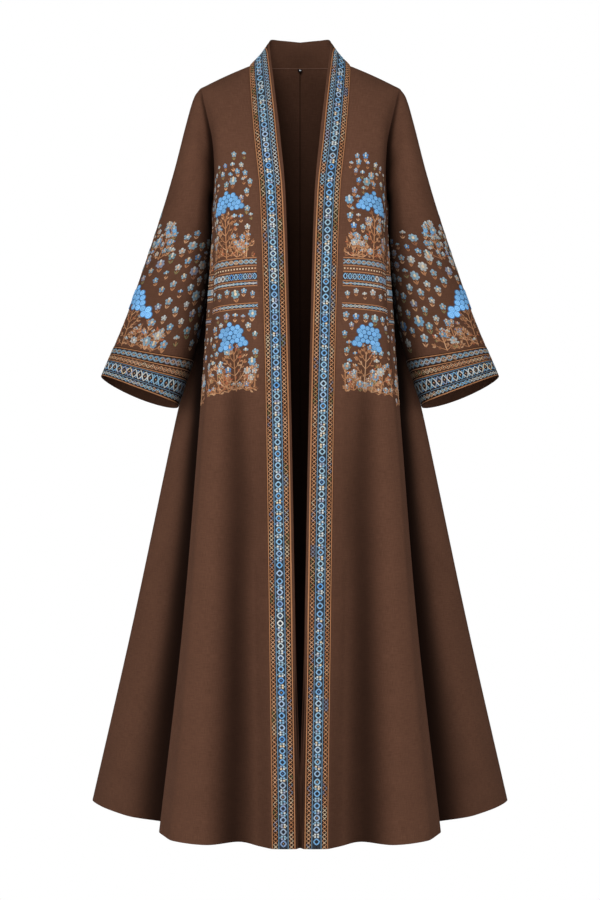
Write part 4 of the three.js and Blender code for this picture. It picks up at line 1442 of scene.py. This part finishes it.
FIELD_INNER = 9.5  # plain cloth between the trim and the field
FIELD_SAG = 11.0  # the borders droop towards the side seam
BODICE_ROWS = [  # t is the way down from the side of the neck
    ("copper line", 373, 1.7, 0), ("waves", 380, 10.4, 9.4), ("copper line", 387, 1.7, 0),
    ("dots", 392.4, 6.0, 5.7), ("copper line", 398, 1.7, 0), ("jewels", 406.6, 11.8, 8.5),
    ("copper line", 415, 1.5, 0), ("chain", 419.4, 5.4, 7.6), ("copper line", 424, 1.6, 0),
    ("copper line", 455.5, 1.5, 0), ("chain", 460.2, 6.4, 8.0), ("copper line", 465, 1.5, 0),
]

# A garden: the first and last row of its sprigs, the height and slope of its upper line, where
# its sprigs end, its dome, the clear height round it, its plants as (foot, turn, height, reach,
# pairs), the main one first, and the left, right, foot and height of its thicket.
SPRIG_ROW, SPRIG_PITCH = 16.5, 17.5
Garden = namedtuple("Garden", "rows top low dome_at clear dome plants thicket")
UPPER_GARDEN = Garden(
    (166, 352), (157, 0.5), 362, (64, 269), (62, 46),
    dict(wide=62, high=47, radius=5.3, flare=0.56),
    [((66, 371), 2, 74, 36, 6), ((28, 371), -6, 34, 20, 3), ((95, 372), 10, 36, 20, 3),
     ((46, 371), -14, 22, 16, 3)],
    (15, 106, 370, 30),
)
LOWER_GARDEN = Garden(
    (477, 590), (470, 0), 606, (60, 512), (56, 52),
    dict(wide=55, high=52, radius=5.4, fill=0.88, flare=0.5),
    [((54, 613), 4, 72, 36, 6), ((19, 613), -4, 38, 18, 3), ((84, 615), 10, 44, 24, 3),
     ((110, 616), -8, 42, 18, 3), ((36, 613), -16, 22, 16, 3), ((68, 614), 14, 24, 16, 3)],
    (15, 122, 612, 30),
)


def lay_garden(work, rng, garden):
    """Sprigs strewn over a field, in offset rows shaken out of line, clear of the dome and the
    plant under it; then the plants, the thicket at their feet and the dome."""
    places = []
    wide, high = garden.clear
    dome_x, dome_y = garden.dome_at
    foot_x = garden.plants[0][0][0]
    for j, b in enumerate(np.arange(*garden.rows, SPRIG_ROW)):
        for a in np.arange(17, 140, SPRIG_PITCH):
            x = a + (8.7 if j % 2 else 0) + rng.uniform(-3, 3)
            y = b + rng.uniform(-3.4, 3.4)
            fall = np.clip((y - dome_y + high / 2 + 8) / high, 0, 1)
            in_dome = 0 < fall < 1 and abs(x - dome_x) < wide / 2 * fall ** 0.7 + 8
            reach = 8 + 0.12 * max(0, y - dome_y - high * 0.4)
            in_plant = abs(x - foot_x) < reach and y > dome_y + high * 0.3
            under_top = y > garden.top[0] + garden.top[1] * x
            in_field = FIELD_INNER + 6 < x < work.edge(y) and under_top and y < garden.low
            if in_field and not in_dome and not in_plant:
                places.append((x, y))
    sow(work, places, rng, size=0.96)
    for row in garden.plants:
        plant(work, *row, rng)
    thicket(work, *garden.thicket, rng)
    dome(work, rng, garden.dome_at, **garden.dome)


def front_work(side, seed):
    """Bodice embroidery: an upper garden with a blue dome, borders with a narrow band of sprigs
    between them, and a lower garden."""
    rng = np.random.default_rng(seed)

    def drape(a, b):
        return a, b + FIELD_SAG * (np.clip(a, 0, 200) / 122) ** 2

    work = Needlework(FRONT, bend=drape)
    wide = float(FRONT.edge(400)) - 2.0
    strip = Needlework(FRONT, bend=lambda s, t: drape(FIELD_INNER + s, t))
    border_rows(strip, wide - FIELD_INNER, BODICE_ROWS, rng)
    work.inner = FIELD_INNER + 1.0
    work.edge = lambda b: FRONT.edge(b) - np.interp(b, [300, 350], [13, 4])
    lay_garden(work, rng, UPPER_GARDEN)
    span = np.arange(FIELD_INNER + 9, wide - 4, 16.0)
    sow(work, at_height(span, 435 + 2.6 * (-1.0) ** np.arange(len(span))), rng, size=0.92)
    lay_garden(work, rng, LOWER_GARDEN)
    work.take(strip)
    return work.finish("front_embroidery", side)


GORE_STRIP = 34.0  # the embroidery carries on this far past the side seam
GORE_DROP = 26.0  # and lies lower there


GORE_COLUMNS = (9.0, 26.0)
GORE_PLAIN = ((390, 462), (474, 500))  # where the borders leave no room for sprigs


def gore_work(side, seed):
    """The front's borders carried on past the seam, two columns of sprigs and two plants."""
    rng = np.random.default_rng(seed)
    work = Needlework(GORE)
    strip = Needlework(GORE, bend=lambda s, t: (s + 1.5, t + GORE_DROP))
    border_rows(strip, GORE_STRIP, BODICE_ROWS, rng)
    places = []
    for j, b in enumerate(np.arange(274, 622, SPRIG_PITCH)):
        for a in GORE_COLUMNS:
            x = a + (7 if j % 2 else 0) + rng.uniform(-1.5, 1.5)
            if not any(low < b < high for low, high in GORE_PLAIN):
                places.append((x, b + rng.uniform(-2, 2)))
    sow(work, places, rng, size=0.8, shares=(0.15, 0.45, 0.4))
    plant(work, (17, 397), 4, 46, 17, 4, rng)
    plant(work, (15, 640), -4, 50, 17, 4, rng)
    work.take(strip)
    return work.finish("gore_embroidery", side)


SLEEVE_COLUMN, SLEEVE_ROW = 17.4, 35.0  # between sprigs, across and down; a half drop between
SLEEVE_MIDDLE, SLEEVE_FIRST = 11, -330  # the middle column's place and the first row's
SLEEVE_DOME = (22, -154)
DOME_TOP, DOME_LOW = -196, -122  # no sprigs between these beside the dome
BUSH_LEFT, BUSH_TOP = -42, -132  # nor over the plants under it
TUFT_MIDDLE, TUFT_LOW = 62, -238  # nor beside the plant above it
PLANT_FOOT = -63  # the plants stand on the cuff's border


def sleeve_taken(x, y):
    """Whether a place belongs to the dome, which widens evenly downwards, or to its plants."""
    in_dome = DOME_TOP < y < DOME_LOW and abs(x - SLEEVE_DOME[0]) < 22 + 0.62 * (y - DOME_TOP)
    in_bush = BUSH_LEFT < x < 76 - 0.3 * (-y - 60) and y >= BUSH_TOP
    return in_dome or in_bush or (abs(x - TUFT_MIDDLE) < 24 and y < TUFT_LOW)


def sleeve_work(side, seed):
    """Sprigs in a half drop all round the lower sleeve, with a plant and dome on its top line."""
    rng = np.random.default_rng(seed)
    work = Needlework(SLEEVE)
    places = []
    for column_number in range(-11, 12):
        for row_number in range(0, 9):
            x = SLEEVE_MIDDLE + column_number * SLEEVE_COLUMN + rng.uniform(-1.5, 1.5)
            y = SLEEVE_FIRST + (row_number + (0.5 if column_number % 2 else 0)) * SLEEVE_ROW
            y += 0.4 * abs(x) * (1 - row_number / 9) + rng.uniform(-1.5, 1.5)
            on_sleeve = abs(x) < SLEEVE.edge(-y) - 7 and y < -CUFF_DEEP - 14
            if on_sleeve and not sleeve_taken(x, y):
                places.append((x, y))
    sow(work, places, rng, lean=-4, size=1.12, shares=(0.24, 0.66, 0.1))
    plant(work, (54, -232), 10, 66, 28, 5, rng, leaf=5.4, tips_flower=1.0, step=11.0,
          flower=1.04)
    heads = [(22 + 15.5 * i + 7.0 * (j % 2), -296 + 15.0 * j + 2.6 * (3 - i) ** 1.5)
             for i in range(4) for j in range(4)]
    sow(work, np.array(heads) + rng.uniform(-3, 3, (16, 2)), rng, size=0.95,
        shares=(0.15, 0.6, 0.25))
    work.buttons([(58, -286), (71, -288)], 4.6, 1.2, [(0, 1, SKY), (0.6, 0.95, SKY_PALE),
                                                     (0.8, 0.8, SKY), (1, 0, SKY_DEEP)])
    dome(work, rng, SLEEVE_DOME, 120, 66, 6.7, 0.85, fill=0.72, bright=1.42)
    plant(work, (36, PLANT_FOOT), -4, 80, 44, 6, rng, tips_flower=0.7)
    for x, tall in ((76, 44), (98, 28), (-8, 50), (-36, 40), (56, 26)):
        plant(work, (x, PLANT_FOOT), 4, tall, 20, 3, rng, tips_flower=0.8)
    return work.finish("sleeve_embroidery", side)


# ---- Small parts ----
def stacked(name, outline, middle, levels, ends, seat, finish):
    """A small solid: an outline at several sizes and heights, closed by a point at each end."""
    count = len(outline)
    layers = [np.column_stack([middle + (outline - middle) * size, np.full(count, high)])
              for size, high in levels]
    points = np.concatenate([*layers, [[*middle, end] for end in ends]])
    i = np.arange(count)
    after = (i + 1) % count
    last = (len(levels) - 1) * count
    low, high = np.full(count, last + count), np.full(count, last + count + 1)
    faces = [np.stack([i, after, after + count, i + count], -1) + k * count
             for k in range(len(levels) - 1)]
    faces += [np.stack([low, after, i], -1), np.stack([high, i + last, after + last], -1)]
    flat = [points[face][..., :2] for face in faces]
    return new_piece(name, seat_on_tab(points + seat), faces, finish, flat)


def seat_on_tab(points):
    """From the tab's own flat (x, y, thickness) to its place under the neck seam."""
    top = centre_back(np.array(0.0))
    slope = centre_back(np.array(30.0)) - top
    lean = math.atan2(slope[1], -slope[2])
    c, d = math.cos(lean), math.sin(lean)
    upright = np.column_stack([points[:, 0], -points[:, 2], points[:, 1]])
    return upright @ np.array([[1, 0, 0], [0, c, d], [0, -d, c]]).T + top


SOLID_MORE = 0.15  # half of what the solid's wall is thicker than this cloth
TAB_LIFT = HALF_THICK + TAB_CLEAR + SOLID_MORE


def size_tab():
    """A woven tab with a round lower end."""
    half = TAB_WIDE / 2
    angle = np.linspace(CIRCLE / 2, CIRCLE, 17)
    low = np.stack([half * np.cos(angle), half - TAB_HIGH + half * np.sin(angle)], -1)
    low[:, 1] = np.maximum(low[:, 1], -TAB_HIGH)
    outline = np.concatenate([[[-half, 0]], low, [[half, 0]]])
    levels = [(0.9, 0.0), (1.0, 0.18), (1.0, TAB_THICK - 0.18), (0.9, TAB_THICK)]
    made = stacked("size_tab_woven", outline, np.array([0, -TAB_HIGH / 2]), levels,
                   (0.0, TAB_THICK), [0, -TAB_BELOW, TAB_LIFT], TAB_FINISH)
    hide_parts("size_tab")


def tab_dot():
    """A plain pale dot on the tab: a low dome of two rings."""
    angle = np.arange(20) / 20 * CIRCLE
    stacked("size_tab_dot", 1.9 * np.stack([np.cos(angle), np.sin(angle)], -1), np.zeros(2),
            [(1, -0.1), (1, 0.12), (1.3 / 1.9, 0.2)], (-0.1, 0.22),
            [0, -TAB_BELOW - TAB_HIGH * 0.42, TAB_LIFT + TAB_THICK], DOT_FINISH)


def collar_stitches(side):
    """On the collar's inner face: top stitching under its edge and a cord along the seam."""
    work = Needlework(BAND, -SURFACE)
    along = np.arange(0.4, 112, 3.0)[:, None] + np.linspace(0, 2.3, 4)
    work.threads(at_height(TRIM_WIDE - 3.2, along), 0.3 * np.array([0.6, 1, 1, 0.6]), -0.3,
                 BROWN * 0.7)
    # The cord is a real ridge along the seam; its lighter brown is a painted highlight on it.
    work.threads(at_height(0.9, np.linspace(0, 96, 40))[None], 0.75, -0.8, BROWN * 1.25)
    return work.finish("collar_stitches", side)


def back_seam_shadow(side):
    """A painted shadow along the pressed seam inside the centre back: a narrow dark strip under
    the cloth.
    """
    grid = np.meshgrid([0.0, 0.003, 0.006], np.linspace(4, 700, 90))
    return shell("back_seam_shadow", BACK, side, SEAM_SHADOW_FINISH, *grid, -HALF_THICK - 0.25,
                 -HALF_THICK + 0.1)


# ---- Everything in place ----
# The numbers after a side are the rows and columns of the shell.
for side, seed in ((1, 3), (-1, 8)):
    stitched = [make(side, seed + 20 * k) for k, make in enumerate(
        (front_work, gore_work, sleeve_work, trim_work, cuff_work))]
    as_sheet(panel_shell("front", FRONT, side, 230, 45), "front", side,
             parts=[stitched[0]])
    as_sheet(panel_shell("gore", GORE, side, 170, 53), "gore", side,
             parts=[stitched[1]])
    as_sheet(panel_shell("back", BACK, side, 180, 55, 0.0008), "back", side,
             parts=[back_seam_shadow(side)])
    sleeve = as_sheet(sleeve_shell(side, 120, 100), "sleeve", side,
                      parts=[stitched[2]])
    band = as_sheet(band_shell(side), "band", side, parts=[collar_stitches(side)])
    as_sheet(ribbon_shell(side), "ribbon", side, [stitched[3]])
    as_sheet(cuff_shell(side, 14, 110), "cuff_band", side, [stitched[4]])

size_tab()
tab_dot()


# ---- Stage, light and camera ----
def plain_to_camera(tree, felt, seen, end):
    """The camera meets one shader and the light of the scene another."""
    path = node(tree, "ShaderNodeLightPath")
    mix = node(tree, "ShaderNodeMixShader", [(0, path.outputs["Is Camera Ray"]),
                                             (1, felt.outputs[0]), (2, seen.outputs[0])])
    tree.links.new(mix.outputs[0], tree.nodes[end].inputs["Surface"])


def stage_floor():
    """A wide pale floor a little under the hem; it looks white where the camera sees it."""
    low = CAD_BOX[0][2] - 0.09
    size = 30.0
    mesh = bpy.data.meshes.new("floor")
    mesh.from_pydata([(-size, -size, low), (size, -size, low), (size, size, low),
                      (-size, size, low)], [], [(0, 1, 2, 3)])
    finish, tree, skin = new_finish("pale floor", Base_Color=(0.86, 0.86, 0.86, 1), Roughness=0.9)
    glow = node(tree, "ShaderNodeEmission", [("Color", (1, 1, 1, 1)), ("Strength", 1.0)])
    plain_to_camera(tree, skin, glow, "Material Output")
    mesh.materials.append(finish)
    in_scene("floor", mesh)


def studio_sky():
    """White where the camera sees it, a soft dim dome of light for the garment."""
    world = bpy.data.worlds.new("studio")
    world.use_nodes = True
    tree = world.node_tree
    seen = tree.nodes["Background"]
    seen.inputs["Color"].default_value = (1, 1, 1, 1)
    seen.inputs["Strength"].default_value = 1.0
    felt = node(tree, "ShaderNodeBackground", [("Color", (1, 1, 1, 1)), ("Strength", 0.07)])
    plain_to_camera(tree, felt, seen, "World Output")
    bpy.context.scene.world = world


MIDDLE = np.array([0.0, 0.0, -0.65])


def softbox(name, place, wide, high, power):
    """A rectangular lamp that faces the middle of the garment."""
    light = bpy.data.lights.new(name, "AREA")
    light.shape = "RECTANGLE"
    light.size, light.size_y, light.energy = wide, high, power
    lamp = in_scene(name, light)
    lamp.location = place
    away = np.array(place) - MIDDLE
    flat = math.hypot(away[0], away[1])
    lamp.rotation_euler = (math.atan2(flat, away[2]), 0, math.atan2(away[0], -away[1]))


def studio():
    """One lamp high in front, one at either side and one behind."""
    softbox("high softbox", (-0.5, -3.9, 1.2), 1.8, 1.4, 100)
    softbox("left softbox", (-3.2, -2.6, -0.3), 1.2, 2.4, 44)
    softbox("right softbox", (3.2, -2.6, -0.3), 1.2, 2.4, 38)
    softbox("back softbox", (0.0, 3.6, 1.2), 3.0, 2.0, 60)


def camera():
    """Level with the middle of the garment, straight in front."""
    lens = bpy.data.cameras.new("camera")
    lens.lens, lens.sensor_width, lens.sensor_fit = 66.0, 36.0, "AUTO"
    lens.clip_start, lens.clip_end = 0.1, 100.0
    eye = in_scene("camera", lens)
    eye.location = (0, -3.1, -0.721)
    eye.rotation_euler = (math.radians(90), 0, 0)
    bpy.context.scene.camera = eye


stage_floor()
studio_sky()
studio()
camera()
bpy.context.scene.view_settings.view_transform = "Standard"
